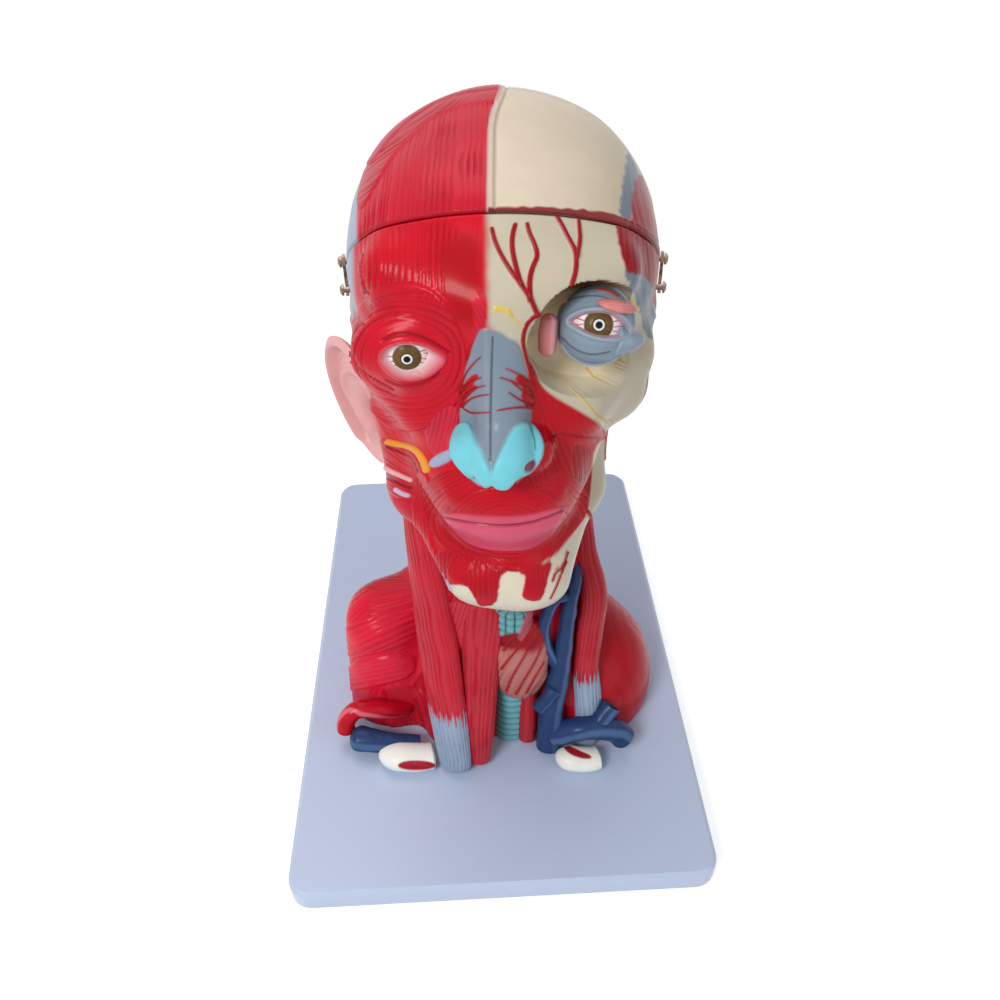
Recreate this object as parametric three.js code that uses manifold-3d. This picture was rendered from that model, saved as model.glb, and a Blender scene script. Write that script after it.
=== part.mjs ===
import * as THREE from 'three';
import Module from 'manifold-3d';

const wasm = await Module();
wasm.setup();

// Clearances, in millimetres
const seatGap = 0.35;
const cutOverrun = 40;

// Base board, a shallow plastic tray on four rubber feet
const boardWidth = 240;
const boardLength = 360;
const boardThickness = 16;
const boardCornerRadius = 13;
const boardEdgeBevel = 2.4;
const boardWall = 3.2;
const footHeight = 4;
const footRadius = 11;
const footEdgeChamfer = 1.2;
const footStemRadius = 4;
const footStemLength = 7;
const footInset = 27;
const footPostWall = 3;

// Screws that hold the neck down on the board
const screwRadius = 2;
const screwHeadRadius = 4.2;
const screwHeadHeight = 2.6;
const screwRecess = 1;
const screwEngagement = 16;
const washerRadius = 6.5;
const washerThickness = 1.2;
const bossRadius = 8;
const bossHeight = 24;

// Sculpted head and neck: every form below is a share of the span from chin to crown
const headSpan = 200;
const headShift = headSpan * 0.0575;
const headTurnDegrees = -3.3;
const ringCount = 38;
const sideCount = 42;
const frontCrowding = 0.42;
const cavitySides = 20;
const cavityRings = 11;
const orbitSides = 18;
const orbitRings = 10;

// Skull cap, brain and their cuts; heights are along each cut's normal from the cap's cut
const cutTiltDegrees = 42;
const brainGap = 2.8;
const stemRadius = headSpan * 0.075;
const stemTop = headSpan * 0.1;
const temporalCut = { degrees: 41, height: headSpan * 0.02 };
const tentoriumCut = { degrees: 44, height: headSpan * -0.2 };
const pieceGap = 0.4;

// Eyes
const eyeRadius = headSpan * 0.067;
const opticNerveRadius = headSpan * 0.013;
const opticNerveDepth = headSpan * 0.03;
const lidThickness = headSpan * 0.0275;
const pullStep = headSpan * 0.0075;
const pullStepCount = 16;
const pullGap = headSpan * 0.004;

// Latch hooks, their pivot screws and the studs below them
const hookThickness = 1.6;
const hookRingRadius = 3.6;
const hookWireWidth = 2.2;
const hookReach = 14;
const hookOpeningDegrees = 72;
const latchScrewRadius = 1.5;
const latchScrewHeadRadius = 2.9;
const latchScrewHeadHeight = 1.8;
const latchScrewDepth = 4.5;
const latchFloat = 0.9;
const latchHeight = 8.5;
const latchForward = 12;

// Radii of the vessels and the windpipe
const jugularLoopRadius = headSpan * 0.017;
const subclavianRadius = headSpan * 0.036;
const subclavianStubRadius = headSpan * 0.029;
const tracheaRadius = headSpan * 0.045;
const arteryRadius = headSpan * 0.0275;

const boardTop = footHeight + boardThickness;
const headTurn = THREE.MathUtils.degToRad(headTurnDegrees);
const cutTilt = THREE.MathUtils.degToRad(cutTiltDegrees);

// Forms of the head. ball: centre, radii; rod: from, to, end radii; blend: rounding into the rest
const headFormShares = [
  { ball: [0, -0.01, 1.415], radii: [0.3825, 0.44, 0.395], tilt: 12 },
  { ball: [0, -0.24, 1.5], radii: [0.3, 0.235, 0.23], tilt: 11, blend: 0.12 },
  { ball: [0, -0.29, 1.23], radii: [0.26, 0.24, 0.28], blend: 0.12 },
  { ball: [0, -0.36, 1.04], radii: [0.19, 0.21, 0.2], blend: 0.12 },
  { ball: [0.02, -0.515, 0.815], radii: [0.1, 0.085, 0.1], blend: 0.08 },
  { rod: [-0.085, -0.51, 0.8], to: [-0.215, -0.25, 0.885], ends: [0.06, 0.06], blend: 0.08 },
  { rod: [0.1, -0.51, 0.8], to: [0.19, -0.25, 0.885], ends: [0.06, 0.058], blend: 0.08 },
  { rod: [-0.215, -0.25, 0.885], to: [-0.255, -0.13, 1.21], ends: [0.06, 0.055], blend: 0.08 },
  { rod: [0.19, -0.25, 0.885], to: [0.23, -0.14, 1.21], ends: [0.058, 0.05], blend: 0.08 },
  { rod: [-0.22, -0.28, 0.91], to: [-0.255, -0.3, 1.17], ends: [0.072, 0.06], blend: 0.07 },
  { pair: true, rod: [0.17, -0.42, 1.27], to: [0.29, -0.29, 1.305], ends: [0.06, 0.05], blend: 0.07 },
  { ball: [0.265, -0.29, 1.212], radii: [0.07, 0.08, 0.07], blend: 0.06 },
  { pair: true, rod: [0.29, -0.29, 1.305], to: [0.335, -0.11, 1.325], ends: [0.04, 0.035], blend: 0.05 },
  { pair: true, rod: [0.05, -0.465, 1.53], to: [0.23, -0.39, 1.56], ends: [0.04, 0.04], blend: 0.09 },
  { ball: [-0.2, -0.455, 1.415], radii: [0.11, 0.04, 0.075], blend: 0.06 },
  { ball: [0.005, -0.485, 1.08], radii: [0.14, 0.095, 0.13], blend: 0.07 },
  { ball: [0.005, -0.545, 1.1], radii: [0.115, 0.04, 0.035], blend: 0.04 },
  { ball: [0.005, -0.535, 1.03], radii: [0.105, 0.04, 0.035], blend: 0.04 },
  { rod: [0, -0.46, 1.49], to: [0, -0.57, 1.27], ends: [0.04, 0.045], blend: 0.06 },
  { ball: [0, -0.605, 1.235], radii: [0.055, 0.06, 0.055], blend: 0.04 },
  { pair: true, ball: [0.065, -0.55, 1.225], radii: [0.045, 0.06, 0.045], blend: 0.025 },
];

// Forms of the neck and shoulders
const neckFormShares = [
  { rod: [-0.01, -0.19, 0], to: [-0.01, -0.13, 0.925], ends: [0.19, 0.21] },
  { rod: [-0.03, 0.03, 0], to: [-0.015, 0.04, 0.975], ends: [0.26, 0.2], blend: 0.1 },
  { rod: [-0.14, -0.34, 0], to: [-0.08, -0.185, 0.725], ends: [0.125, 0.12], blend: 0.07 },
  { rod: [0.16, -0.3, 0], to: [0.1, -0.16, 0.75], ends: [0.11, 0.11], blend: 0.07 },
  { rod: [-0.365, -0.22, 0], to: [-0.38, -0.18, 0.275], ends: [0.16, 0.13], blend: 0.07 },
  { rod: [-0.36, -0.15, 0.24], to: [-0.12, 0.02, 0.4], ends: [0.12, 0.07], blend: 0.05 },
  { ball: [0.243, -0.18, 0.055], radii: [0.225, 0.255, 0.235], blend: 0.06 },
  { rod: [0.19, -0.13, 0.13], to: [0.07, 0.035, 0.66], ends: [0.16, 0.095], blend: 0.08 },
];
const neckBlendShare = 0.09;
const shoulderCutShare = 0.512;
const shoulderCutBlendShare = 0.025;

// Rays that meet the surface: share of the way up, start x, y, z, and lift at the front and back
const rayShares = [
  [0, -0.05, -0.125, 0, 0, 0],
  [0.12, -0.04, -0.125, 0.35, 0, 0],
  [0.2, -0.03, -0.14, 0.575, -6, 0],
  [0.27, -0.02, -0.18, 0.75, -24, -2],
  [0.33, -0.01, -0.21, 0.9, -34, -4],
  [0.4, -0.01, -0.24, 0.97, -12, -6],
  [0.55, -0.01, -0.22, 1.19, 0, -4],
  [0.68, 0, -0.14, 1.36, 3, 0],
  [0.76, 0, -0.06, 1.4, 20, 8],
  [1, 0, -0.03, 1.41, 90, 90],
];
const rayReachShare = 0.9;
const rayStepCount = 40;
const rayStepShare = 0.85;

// The space for the brain, the orbit and the hollow of the neck
const cavityShares = [
  { ball: [0, 0.02, 1.388], radii: [0.34, 0.37, 0.355], tilt: 12 },
  { ball: [0, -0.21, 1.568], radii: [0.25, 0.18, 0.13], tilt: 0 },
];
const cutPointShare = [0, -0.01, 1.338];
const orbitShares = { ball: [0.183, -0.452, 1.431], radii: [0.163, 0.1, 0.152], tilt: -24 };
const neckHollowShares = { bottom: [0.16, 0.22], top: [0.14, 0.15], centre: [-0.015, -0.09], height: 0.7 };
const screwPlaceShares = [
  [0.095, 0.06],
  [0.095, -0.24],
  [-0.125, 0.06],
  [-0.125, -0.24],
];

// Small forms in place on the head
const rightEyeShare = [-0.2, -0.4355, 1.42];
const leftEyeShare = [0.198, -0.42, 1.455];
const eyePullShare = [0.2, -0.98, 0];
const earShare = { centre: [-0.37, -0.1, 1.05], radii: [0.028, 0.088, 0.178], tilt: 25, flare: 46 };
const earRootShare = { centre: [-0.31, -0.085, 1.1], radii: [0.055, 0.05, 0.11] };
const conchaShare = { shift: [-0.02, -0.02, 0], radii: [0.022, 0.05, 0.1] };
const lidShare = { shift: [0, 0, 0], radii: [0.08, 0.082, 0.088] };
const lidTailShare = { from: [0.06, -0.03, -0.02], to: [0.125, 0.03, -0.05], ends: [0.028, 0.014] };
const slitShare = { shift: [0.004, -0.075, 0.04], radii: [0.062, 0.05, 0.032] };
const sacShare = { from: [-0.1, -0.024, 0.04], to: [-0.102, -0.024, -0.055], ends: [0.0205, 0.0205] };
const glandShare = { shift: [0.072, -0.03, 0.056], radii: [0.045, 0.028, 0.028] };

// Muscles: places from top to bottom, each with its half width and half depth
const rightSternomastoidShares = [
  [-0.27, -0.06, 0.95, 0.05, 0.04],
  [-0.235, -0.22, 0.68, 0.064, 0.04],
  [-0.2, -0.37, 0.38, 0.066, 0.036],
  [-0.165, -0.5, 0.12, 0.052, 0.034],
  [-0.155, -0.54, 0, 0.042, 0.026],
];
const leftSternomastoidShares = [
  [0.2, -0.08, 0.93, 0.035, 0.035],
  [0.222, -0.205, 0.63, 0.036, 0.034],
  [0.256, -0.275, 0.495, 0.04, 0.034],
  [0.247, -0.315, 0.375, 0.042, 0.034],
  [0.2385, -0.362, 0.258, 0.036, 0.032],
  [0.247, -0.405, 0.165, 0.04, 0.03],
  [0.247, -0.43, 0.07, 0.036, 0.028],
  [0.247, -0.435, 0, 0.034, 0.026],
];
const strapMuscleShares = [
  [-0.055, -0.34, 0.55, 0.03, 0.024],
  [-0.075, -0.4, 0.34, 0.038, 0.03],
  [-0.085, -0.49, 0.12, 0.04, 0.034],
  [-0.09, -0.51, 0, 0.036, 0.03],
];
const thyroidShares = [
  [0.05, -0.36, 0.42, 0.05, 0.036],
  [0.045, -0.385, 0.3, 0.075, 0.04],
  [0.045, -0.4, 0.2, 0.05, 0.03],
];

// Vessels and windpipe: places along each run
const tracheaRunShares = [
  [0.023, -0.355, 0.53],
  [0.019, -0.375, 0.261],
  [0.015, -0.39, 0],
];
const carotidRunShares = [
  [0.066, -0.385, 0.25],
  [0.065, -0.415, 0.11],
  [0.062, -0.425, 0],
];
const jugularShares = [
  [0.212, -0.235, 0.65, 0.02, 0.02],
  [0.2, -0.288, 0.574, 0.02, 0.02],
  [0.185, -0.318, 0.513, 0.021, 0.021],
  [0.1745, -0.348, 0.413, 0.023, 0.023],
  [0.156, -0.395, 0.268, 0.03, 0.028],
  [0.135, -0.435, 0.169, 0.036, 0.032],
  [0.131, -0.455, 0.045, 0.04, 0.036],
  [0.13, -0.46, 0, 0.04, 0.036],
];
const jugularLoopShares = [
  [0.18, -0.32, 0.55],
  [0.135, -0.345, 0.54],
  [0.113, -0.355, 0.47],
  [0.113, -0.37, 0.39],
  [0.145, -0.385, 0.31],
];
const subclavianRunShares = [
  [0.14, -0.46, 0.07],
  [0.24, -0.47, 0.115],
  [0.33, -0.455, 0.08],
  [0.37, -0.465, 0.038],
];
const subclavianStubShares = [
  [0.27, -0.465, 0.1],
  [0.315, -0.425, 0.165],
];
const rightArteryShares = [
  [-0.49, -0.445, 0.04],
  [-0.489, -0.425, 0.078],
  [-0.46, -0.405, 0.11],
  [-0.405, -0.395, 0.11],
  [-0.33, -0.375, 0.067],
];
const rightVeinShares = [
  [-0.462, -0.46, 0.05, 0.04, 0.04],
  [-0.398, -0.47, 0.046, 0.034, 0.034],
  [-0.336, -0.47, 0.042, 0.026, 0.026],
  [-0.27, -0.46, 0.032, 0.02, 0.02],
];
const rightClavicleShare = { centre: [-0.305, -0.515, 0.035], radii: [0.085, 0.045, 0.034] };
const leftClavicleShare = { centre: [0.215, -0.52, 0.032], radii: [0.065, 0.04, 0.03] };

// Colours and finishes
const finish = (color, roughness, metalness = 0) => new THREE.MeshStandardMaterial({ color, roughness, metalness });
const muscleRed = finish(0xb71f2c, 0.42);
const bone = finish(0xe9e0c8, 0.45);
const boardWhite = finish(0xc9cfe6, 0.4);
const skinPink = finish(0xd98a84, 0.45);
const eyeWhite = finish(0xf0ece8, 0.2);
const lidGrey = finish(0x8a939c, 0.4);
const glandPink = finish(0xd98c94, 0.4);
const tendonRed = finish(0xb32a33, 0.42);
const cartilageTeal = finish(0x8ec4c4, 0.4);
const veinBlue = finish(0x24304c, 0.35);
const arteryRed = finish(0xc01822, 0.35);
const brainPink = finish(0xe0b8a8, 0.5);
const steel = finish(0xb8b8b8, 0.3, 1);
const rubber = finish(0x2a2a2c, 0.85);

// Solids: from a geometry to a closed body and back
function toSolid(geometry) {
  const places = geometry.getAttribute('position');
  const count = geometry.index ? geometry.index.count : places.count;
  const found = new Map();
  const vertices = [];
  const corners = [];
  for (let i = 0; i < count; i += 1) {
    const k = geometry.index ? geometry.index.getX(i) : i;
    const p = [places.getX(k), places.getY(k), places.getZ(k)];
    const key = p.map((v) => Math.round(v * 1e4)).join(' ');
    if (!found.has(key)) {
      found.set(key, vertices.length / 3);
      vertices.push(...p);
    }
    corners.push(found.get(key));
  }
  const faces = [];
  for (let i = 0; i < corners.length; i += 3) {
    const [a, b, c] = corners.slice(i, i + 3);
    if (a !== b && b !== c && c !== a) faces.push(a, b, c);
  }
  return new wasm.Manifold(
    new wasm.Mesh({
      numProp: 3,
      vertProperties: Float32Array.from(vertices),
      triVerts: Uint32Array.from(faces),
    }),
  );
}

// The largest connected body of a solid, as a geometry
function toGeometry(solid) {
  const mesh = solid.getMesh();
  const parent = Array.from({ length: mesh.vertProperties.length / mesh.numProp }, (_, i) => i);
  const rootOf = (i) => {
    while (parent[i] !== i) {
      parent[i] = parent[parent[i]];
      i = parent[i];
    }
    return i;
  };
  for (let i = 0; i < mesh.triVerts.length; i += 3) {
    parent[rootOf(mesh.triVerts[i])] = rootOf(mesh.triVerts[i + 1]);
    parent[rootOf(mesh.triVerts[i + 1])] = rootOf(mesh.triVerts[i + 2]);
  }
  const corner = (k) => new THREE.Vector3().fromArray(mesh.vertProperties, mesh.triVerts[k] * mesh.numProp);
  const volumes = new Map();
  for (let i = 0; i < mesh.triVerts.length; i += 3) {
    const root = rootOf(mesh.triVerts[i]);
    const share = corner(i).dot(corner(i + 1).cross(corner(i + 2)));
    volumes.set(root, (volumes.get(root) ?? 0) + share);
  }
  const main = [...volumes].sort((a, b) => b[1] - a[1])[0][0];
  const faces = [];
  for (let i = 0; i < mesh.triVerts.length; i += 3) {
    if (rootOf(mesh.triVerts[i]) === main) faces.push(...mesh.triVerts.slice(i, i + 3));
  }
  const geometry = new THREE.BufferGeometry();
  geometry.setAttribute('position', new THREE.BufferAttribute(mesh.vertProperties.slice(), mesh.numProp));
  geometry.setIndex(faces);
  return geometry;
}

// Distance to the sculpted surface, negative inside, with all sizes as shares
function ballDistance(p, form) {
  const turn = THREE.MathUtils.degToRad(form.tilt ?? 0);
  const x = p[0] - form.ball[0];
  const v = p[1] - form.ball[1];
  const w = p[2] - form.ball[2];
  const y = v * Math.cos(turn) - w * Math.sin(turn);
  const z = v * Math.sin(turn) + w * Math.cos(turn);
  const [a, b, c] = form.radii;
  const near = Math.hypot(x / a, y / b, z / c);
  const slope = Math.hypot(x / a / a, y / b / b, z / c / c) + Number.EPSILON;
  return (near * (near - 1)) / slope;
}

function rodDistance(p, form) {
  const along = form.to.map((v, i) => v - form.rod[i]);
  const from = p.map((v, i) => v - form.rod[i]);
  const dot = from[0] * along[0] + from[1] * along[1] + from[2] * along[2];
  const t = THREE.MathUtils.clamp(dot / (along[0] ** 2 + along[1] ** 2 + along[2] ** 2), 0, 1);
  const reach = Math.hypot(from[0] - t * along[0], from[1] - t * along[1], from[2] - t * along[2]);
  return reach - THREE.MathUtils.lerp(form.ends[0], form.ends[1], t);
}

function smoothJoin(a, b, blend) {
  const h = Math.max(blend - Math.abs(a - b), 0) / blend;
  return Math.min(a, b) - (h * h * blend) / 4;
}

function formsDistance(p, forms) {
  let distance = Infinity;
  for (const form of forms) {
    const sides = form.pair ? [1, -1] : [1];
    for (const side of sides) {
      const q = [p[0] * side, p[1], p[2]];
      const d = form.ball ? ballDistance(q, form) : rodDistance(q, form);
      if (distance === Infinity) distance = d;
      else if (form.cut) distance = -smoothJoin(-distance, d, form.blend);
      else distance = smoothJoin(distance, d, form.blend);
    }
  }
  return distance;
}

function bustDistance(p) {
  const neck = formsDistance(p, neckFormShares);
  const cutNeck = -smoothJoin(-neck, p[0] + shoulderCutShare, shoulderCutBlendShare);
  return smoothJoin(formsDistance(p, headFormShares), cutNeck, neckBlendShare);
}

// Where a ray from a place inside meets the surface, kept a clearance outside it
function surfacePoint(from, direction, clearance) {
  let s = rayReachShare;
  for (let i = 0; i < rayStepCount; i += 1) {
    const p = from.map((v, k) => v + direction[k] * s);
    s -= (bustDistance(p) - clearance / headSpan) * rayStepShare;
  }
  return new THREE.Vector3(...from.map((v, k) => (v + direction[k] * s) * headSpan));
}

function rayAt(t, turn) {
  let k = 1;
  while (k < rayShares.length - 1 && rayShares[k][0] < t) k += 1;
  const low = rayShares[k - 1];
  const high = rayShares[k];
  const part = (t - low[0]) / (high[0] - low[0]);
  const [, x, y, z, frontLift, backLift] = low.map((v, i) => THREE.MathUtils.lerp(v, high[i], part));
  const lift = THREE.MathUtils.degToRad(THREE.MathUtils.lerp(backLift, frontLift, (1 + Math.cos(turn)) / 2));
  const out = [Math.sin(turn) * Math.cos(lift), -Math.cos(turn) * Math.cos(lift), Math.sin(lift)];
  return { from: [x, y, z], out };
}

// The whole bust as one closed skin, a clearance outside the sculpted surface
function bustSkin(clearance) {
  const vertices = [];
  const faces = [];
  for (let ring = 0; ring < ringCount; ring += 1) {
    for (let side = 0; side < sideCount; side += 1) {
      const even = ((side / sideCount) * 2 - 1) * Math.PI;
      const turn = even - frontCrowding * Math.sin(even);
      const { from, out } = rayAt(ring / ringCount, turn);
      vertices.push(...surfacePoint(from, out, clearance).toArray());
    }
  }
  const crown = surfacePoint(rayAt(1, 0).from, [0, 0, 1], clearance);
  const [x, y] = rayShares[0].slice(1, 3);
  vertices.push(x * headSpan, y * headSpan, 0, ...crown.toArray());
  const bottom = ringCount * sideCount;
  for (let side = 0; side < sideCount; side += 1) {
    const next = (side + 1) % sideCount;
    for (let ring = 0; ring < ringCount - 1; ring += 1) {
      const a = ring * sideCount + side;
      const b = ring * sideCount + next;
      faces.push(a, b, b + sideCount, a, b + sideCount, a + sideCount);
    }
    const last = (ringCount - 1) * sideCount;
    faces.push(next, side, bottom, last + side, last + next, bottom + 1);
  }
  const geometry = new THREE.BufferGeometry();
  geometry.setAttribute('position', new THREE.Float32BufferAttribute(vertices, 3));
  geometry.setIndex(faces);
  return toSolid(geometry);
}

// Plain solids
function ballSolid(centre, radii, tilt = 0, flare = 0, sides = 14, rings = 9) {
  const geometry = new THREE.SphereGeometry(1, sides, rings).rotateX(Math.PI / 2).rotateX(-cutTilt);
  geometry.scale(...radii);
  geometry.rotateX(THREE.MathUtils.degToRad(-tilt)).rotateZ(THREE.MathUtils.degToRad(flare));
  geometry.translate(...centre);
  return toSolid(geometry);
}

const scaled = (shares) => shares.map((v) => v * headSpan);
const grown = (radii, extra) => radii.map((v) => v + extra);

function shareBall(form, extra = 0, sides = 14, rings = 9) {
  return ballSolid(scaled(form.ball), grown(scaled(form.radii), extra), form.tilt, 0, sides, rings);
}

function cylinderSolid(radius, bottom, top, sides = 16) {
  const geometry = new THREE.CylinderGeometry(radius, radius, top - bottom, sides).rotateX(Math.PI / 2);
  return toSolid(geometry.translate(0, 0, (top + bottom) / 2));
}

function turnedGeometry(outline, sides = 12) {
  const profile = outline.map(([x, y]) => new THREE.Vector2(x, y));
  return new THREE.LatheGeometry(profile, sides).rotateX(Math.PI / 2);
}

// A box that fills one side of a plane through a place
function halfSpace(place, normal, shift = 0) {
  const side = headSpan * 4;
  const geometry = new THREE.BoxGeometry(side, side, side).translate(0, 0, side / 2 + shift);
  geometry.applyQuaternion(new THREE.Quaternion().setFromUnitVectors(new THREE.Vector3(0, 0, 1), normal));
  return toSolid(geometry.translate(...place));
}

// A body of oval rings along a smooth run; each ring has a half width and half depth
function loftSolid(run, halfWidths, halfDepths, steps, sides, extra = 0) {
  const curve = new THREE.CatmullRomCurve3(run);
  const vertices = [];
  const faces = [];
  const across = new THREE.Vector3();
  const outward = new THREE.Vector3();
  for (let i = 0; i <= steps; i += 1) {
    const place = curve.getPoint(i / steps);
    const along = curve.getTangent(i / steps);
    place.addScaledVector(along, i === 0 ? -extra : i === steps ? extra : 0);
    const k = Math.min((i / steps) * (run.length - 1), run.length - 1 - Number.EPSILON * run.length);
    const low = Math.floor(k);
    const width = THREE.MathUtils.lerp(halfWidths[low], halfWidths[low + 1] ?? halfWidths[low], k - low) + extra;
    const depth = THREE.MathUtils.lerp(halfDepths[low], halfDepths[low + 1] ?? halfDepths[low], k - low) + extra;
    outward.set(place.x, place.y, 0).normalize();
    across.crossVectors(along, outward).normalize();
    outward.crossVectors(across, along).normalize();
    for (let j = 0; j < sides; j += 1) {
      const turn = (j / sides) * 2 * Math.PI;
      const p = place.clone().addScaledVector(across, Math.cos(turn) * width);
      p.addScaledVector(outward, Math.sin(turn) * depth);
      vertices.push(...p.toArray());
    }
  }
  for (let j = 0; j < sides; j += 1) {
    const next = (j + 1) % sides;
    for (let i = 0; i < steps; i += 1) {
      const a = i * sides + j;
      const b = i * sides + next;
      faces.push(a, b, b + sides, a, b + sides, a + sides);
    }
    if (j > 0 && next > 0) faces.push(0, next, j, steps * sides, steps * sides + j, steps * sides + next);
  }
  const geometry = new THREE.BufferGeometry();
  geometry.setAttribute('position', new THREE.Float32BufferAttribute(vertices, 3));
  geometry.setIndex(faces);
  const solid = toSolid(geometry);
  return solid.volume() < 0 ? toSolid(geometry.setIndex(faces.reverse())) : solid;
}

function muscleSolid(shares, extra = 0, steps = 8, sides = 8) {
  const run = shares.map((row) => new THREE.Vector3(...scaled(row.slice(0, 3))));
  const widths = shares.map((row) => row[3] * headSpan);
  const depths = shares.map((row) => row[4] * headSpan);
  return loftSolid(run, widths, depths, steps, sides, extra);
}

function vesselSolid(shares, radius, extra = 0, steps = 7, sides = 7) {
  const run = shares.map((row) => new THREE.Vector3(...scaled(row)));
  const radii = shares.map(() => radius);
  return loftSolid(run, radii, radii, steps, sides, extra);
}

function rodSolid(place, form, extra = 0) {
  const run = [form.from, form.to].map((row) => new THREE.Vector3(...scaled(row)).add(place));
  const ends = scaled(form.ends);
  return loftSolid(run, ends, ends, 3, 9, extra);
}

// Pieces, gathered in the bust's own frame, whose floor is the board's top
const model = new THREE.Group();
const bust = new THREE.Group();
bust.position.set(headShift, 0, boardTop + seatGap);
bust.rotation.z = headTurn;
model.add(bust);

function addMesh(group, name, geometry, material) {
  const mesh = new THREE.Mesh(geometry, material);
  mesh.name = name;
  group.add(mesh);
  return mesh;
}

const addSolid = (name, solid, material) => addMesh(bust, name, toGeometry(solid), material);

const cutPoint = scaled(cutPointShare);
const cutNormal = new THREE.Vector3(0, Math.sin(cutTilt), Math.cos(cutTilt));
const cutForward = new THREE.Vector3(0, -Math.cos(cutTilt), Math.sin(cutTilt));
const bustBody = bustSkin(0);
const bustClear = bustSkin(seatGap);
const belowFloor = halfSpace([0, 0, 0], new THREE.Vector3(0, 0, -1));

// Latches: a hook on a pivot screw in the cap, and a stud in the shell below it
function latchPlaces(side) {
  const ahead = latchForward / headSpan;
  const inner = [0, cutPointShare[1] - ahead, cutPointShare[2] + ahead * Math.tan(cutTilt)];
  const rise = latchHeight / headSpan;
  const seat = (lift) => {
    const from = inner.map((v, i) => v + cutNormal.toArray()[i] * lift);
    return surfacePoint(from, [side, 0, 0], 0);
  };
  const pivot = seat(rise);
  const below = seat(rise - hookReach / headSpan);
  const front = surfacePoint([0, inner[1] - rise, inner[2] + rise * Math.tan(cutTilt)], [side, 0, 0], 0);
  const down = below.clone().sub(pivot);
  const forward = front.clone().sub(pivot);
  const axis = down.clone().cross(forward).normalize();
  if (axis.x * side < 0) axis.negate();
  return { pivot, axis, down: down.normalize() };
}

function latchFrame(places, lift, turn = 0) {
  const { pivot, axis, down } = places;
  const across = new THREE.Vector3().crossVectors(axis, down);
  const frame = new THREE.Matrix4().makeBasis(down, across, axis);
  frame.multiply(new THREE.Matrix4().makeRotationZ(turn));
  return new THREE.Matrix4().makeTranslation(pivot.clone().addScaledVector(axis, lift)).multiply(frame);
}

function latchScrewGeometry() {
  const neck = hookThickness + latchFloat + seatGap;
  return turnedGeometry([
    [0, -latchScrewDepth],
    [latchScrewRadius, -latchScrewDepth],
    [latchScrewRadius, neck],
    [latchScrewHeadRadius, neck],
    [latchScrewHeadRadius, neck + latchScrewHeadHeight / 2],
    [latchScrewHeadRadius / 2, neck + latchScrewHeadHeight],
    [0, neck + latchScrewHeadHeight],
  ], 8);
}

// Flat hook: a ring on the pivot, a straight arm, and an open catch round the stud
function hookGeometry(opensTo) {
  const catchInner = latchScrewRadius + seatGap;
  const ring = new THREE.Shape().absarc(0, 0, hookRingRadius, 0, 2 * Math.PI);
  ring.holes.push(new THREE.Path().absarc(0, 0, catchInner, 0, 2 * Math.PI, true));
  const openAngle = THREE.MathUtils.degToRad(hookOpeningDegrees);
  const jaw = new THREE.Shape();
  const facing = opensTo * Math.PI / 2;
  jaw.absarc(hookReach, 0, catchInner + hookWireWidth, facing + openAngle, facing + 2 * Math.PI - openAngle);
  jaw.absarc(hookReach, 0, catchInner, facing + 2 * Math.PI - openAngle, facing + openAngle, true);
  const arm = new THREE.Shape([
    new THREE.Vector2(catchInner + hookWireWidth / 4, -hookWireWidth / 2),
    new THREE.Vector2(hookReach - catchInner - hookWireWidth / 4, -hookWireWidth / 2),
    new THREE.Vector2(hookReach - catchInner - hookWireWidth / 4, hookWireWidth / 2),
    new THREE.Vector2(catchInner + hookWireWidth / 4, hookWireWidth / 2),
  ]);
  const options = { depth: hookThickness, bevelEnabled: false, curveSegments: 6 };
  const [first, ...others] = [ring, jaw, arm].map((shape) => toSolid(new THREE.ExtrudeGeometry(shape, options)));
  return toGeometry(others.reduce((all, solid) => all.add(solid), first));
}

function addLatch(name, side) {
  const places = latchPlaces(side);
  const screw = latchScrewGeometry();
  addMesh(bust, `${name}_latch_screw`, screw.clone().applyMatrix4(latchFrame(places, 0)), steel);
  const studPlaces = { ...places, pivot: places.pivot.clone().addScaledVector(places.down, hookReach) };
  addMesh(bust, `${name}_latch_stud`, screw.clone().applyMatrix4(latchFrame(studPlaces, 0)), steel);
  const hanging = side * cutTilt;
  const hook = hookGeometry(-side).applyMatrix4(latchFrame(places, latchFloat, hanging));
  addMesh(bust, `${name}_latch_hook`, hook, steel);
  const hole = cylinderSolid(latchScrewRadius + seatGap, -latchScrewDepth - seatGap, cutOverrun, 12);
  return [places, studPlaces].map((at) => hole.transform(latchFrame(at, 0).elements));
}

// Skull: the shell of head and neck, and the cap above the cut
const cavityBalls = cavityShares.map((form) => shareBall(form, 0, cavitySides, cavityRings));
const cavity = cavityBalls.reduce((all, ball) => all.add(ball));
const orbit = shareBall(orbitShares, 0, orbitSides, orbitRings);
const latchHoles = [...addLatch('right', -1), ...addLatch('left', 1)].reduce((all, hole) => all.add(hole));
const aboveCut = halfSpace(cutPoint, cutNormal, -seatGap / 2);
const belowCut = halfSpace(cutPoint, cutNormal.clone().negate(), -seatGap / 2);

function neckHollow() {
  const { bottom, top, centre, height } = neckHollowShares;
  const frustum = new THREE.CylinderGeometry(1, 1, 1, 24, 1).rotateX(Math.PI / 2).translate(0, 0, 0.5);
  const places = frustum.getAttribute('position');
  for (let i = 0; i < places.count; i += 1) {
    const high = places.getZ(i) > 0.5;
    const [rx, ry] = scaled(high ? top : bottom);
    const z = high ? height * headSpan : -cutOverrun;
    places.setXYZ(i, places.getX(i) * rx + centre[0] * headSpan, places.getY(i) * ry + centre[1] * headSpan, z);
  }
  let hollow = toSolid(frustum);
  for (const place of screwPlaceShares) {
    const boss = cylinderSolid(bossRadius, -cutOverrun, bossHeight, 14);
    hollow = hollow.subtract(boss.translate([...scaled(place), 0]));
  }
  return hollow;
}

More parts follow.
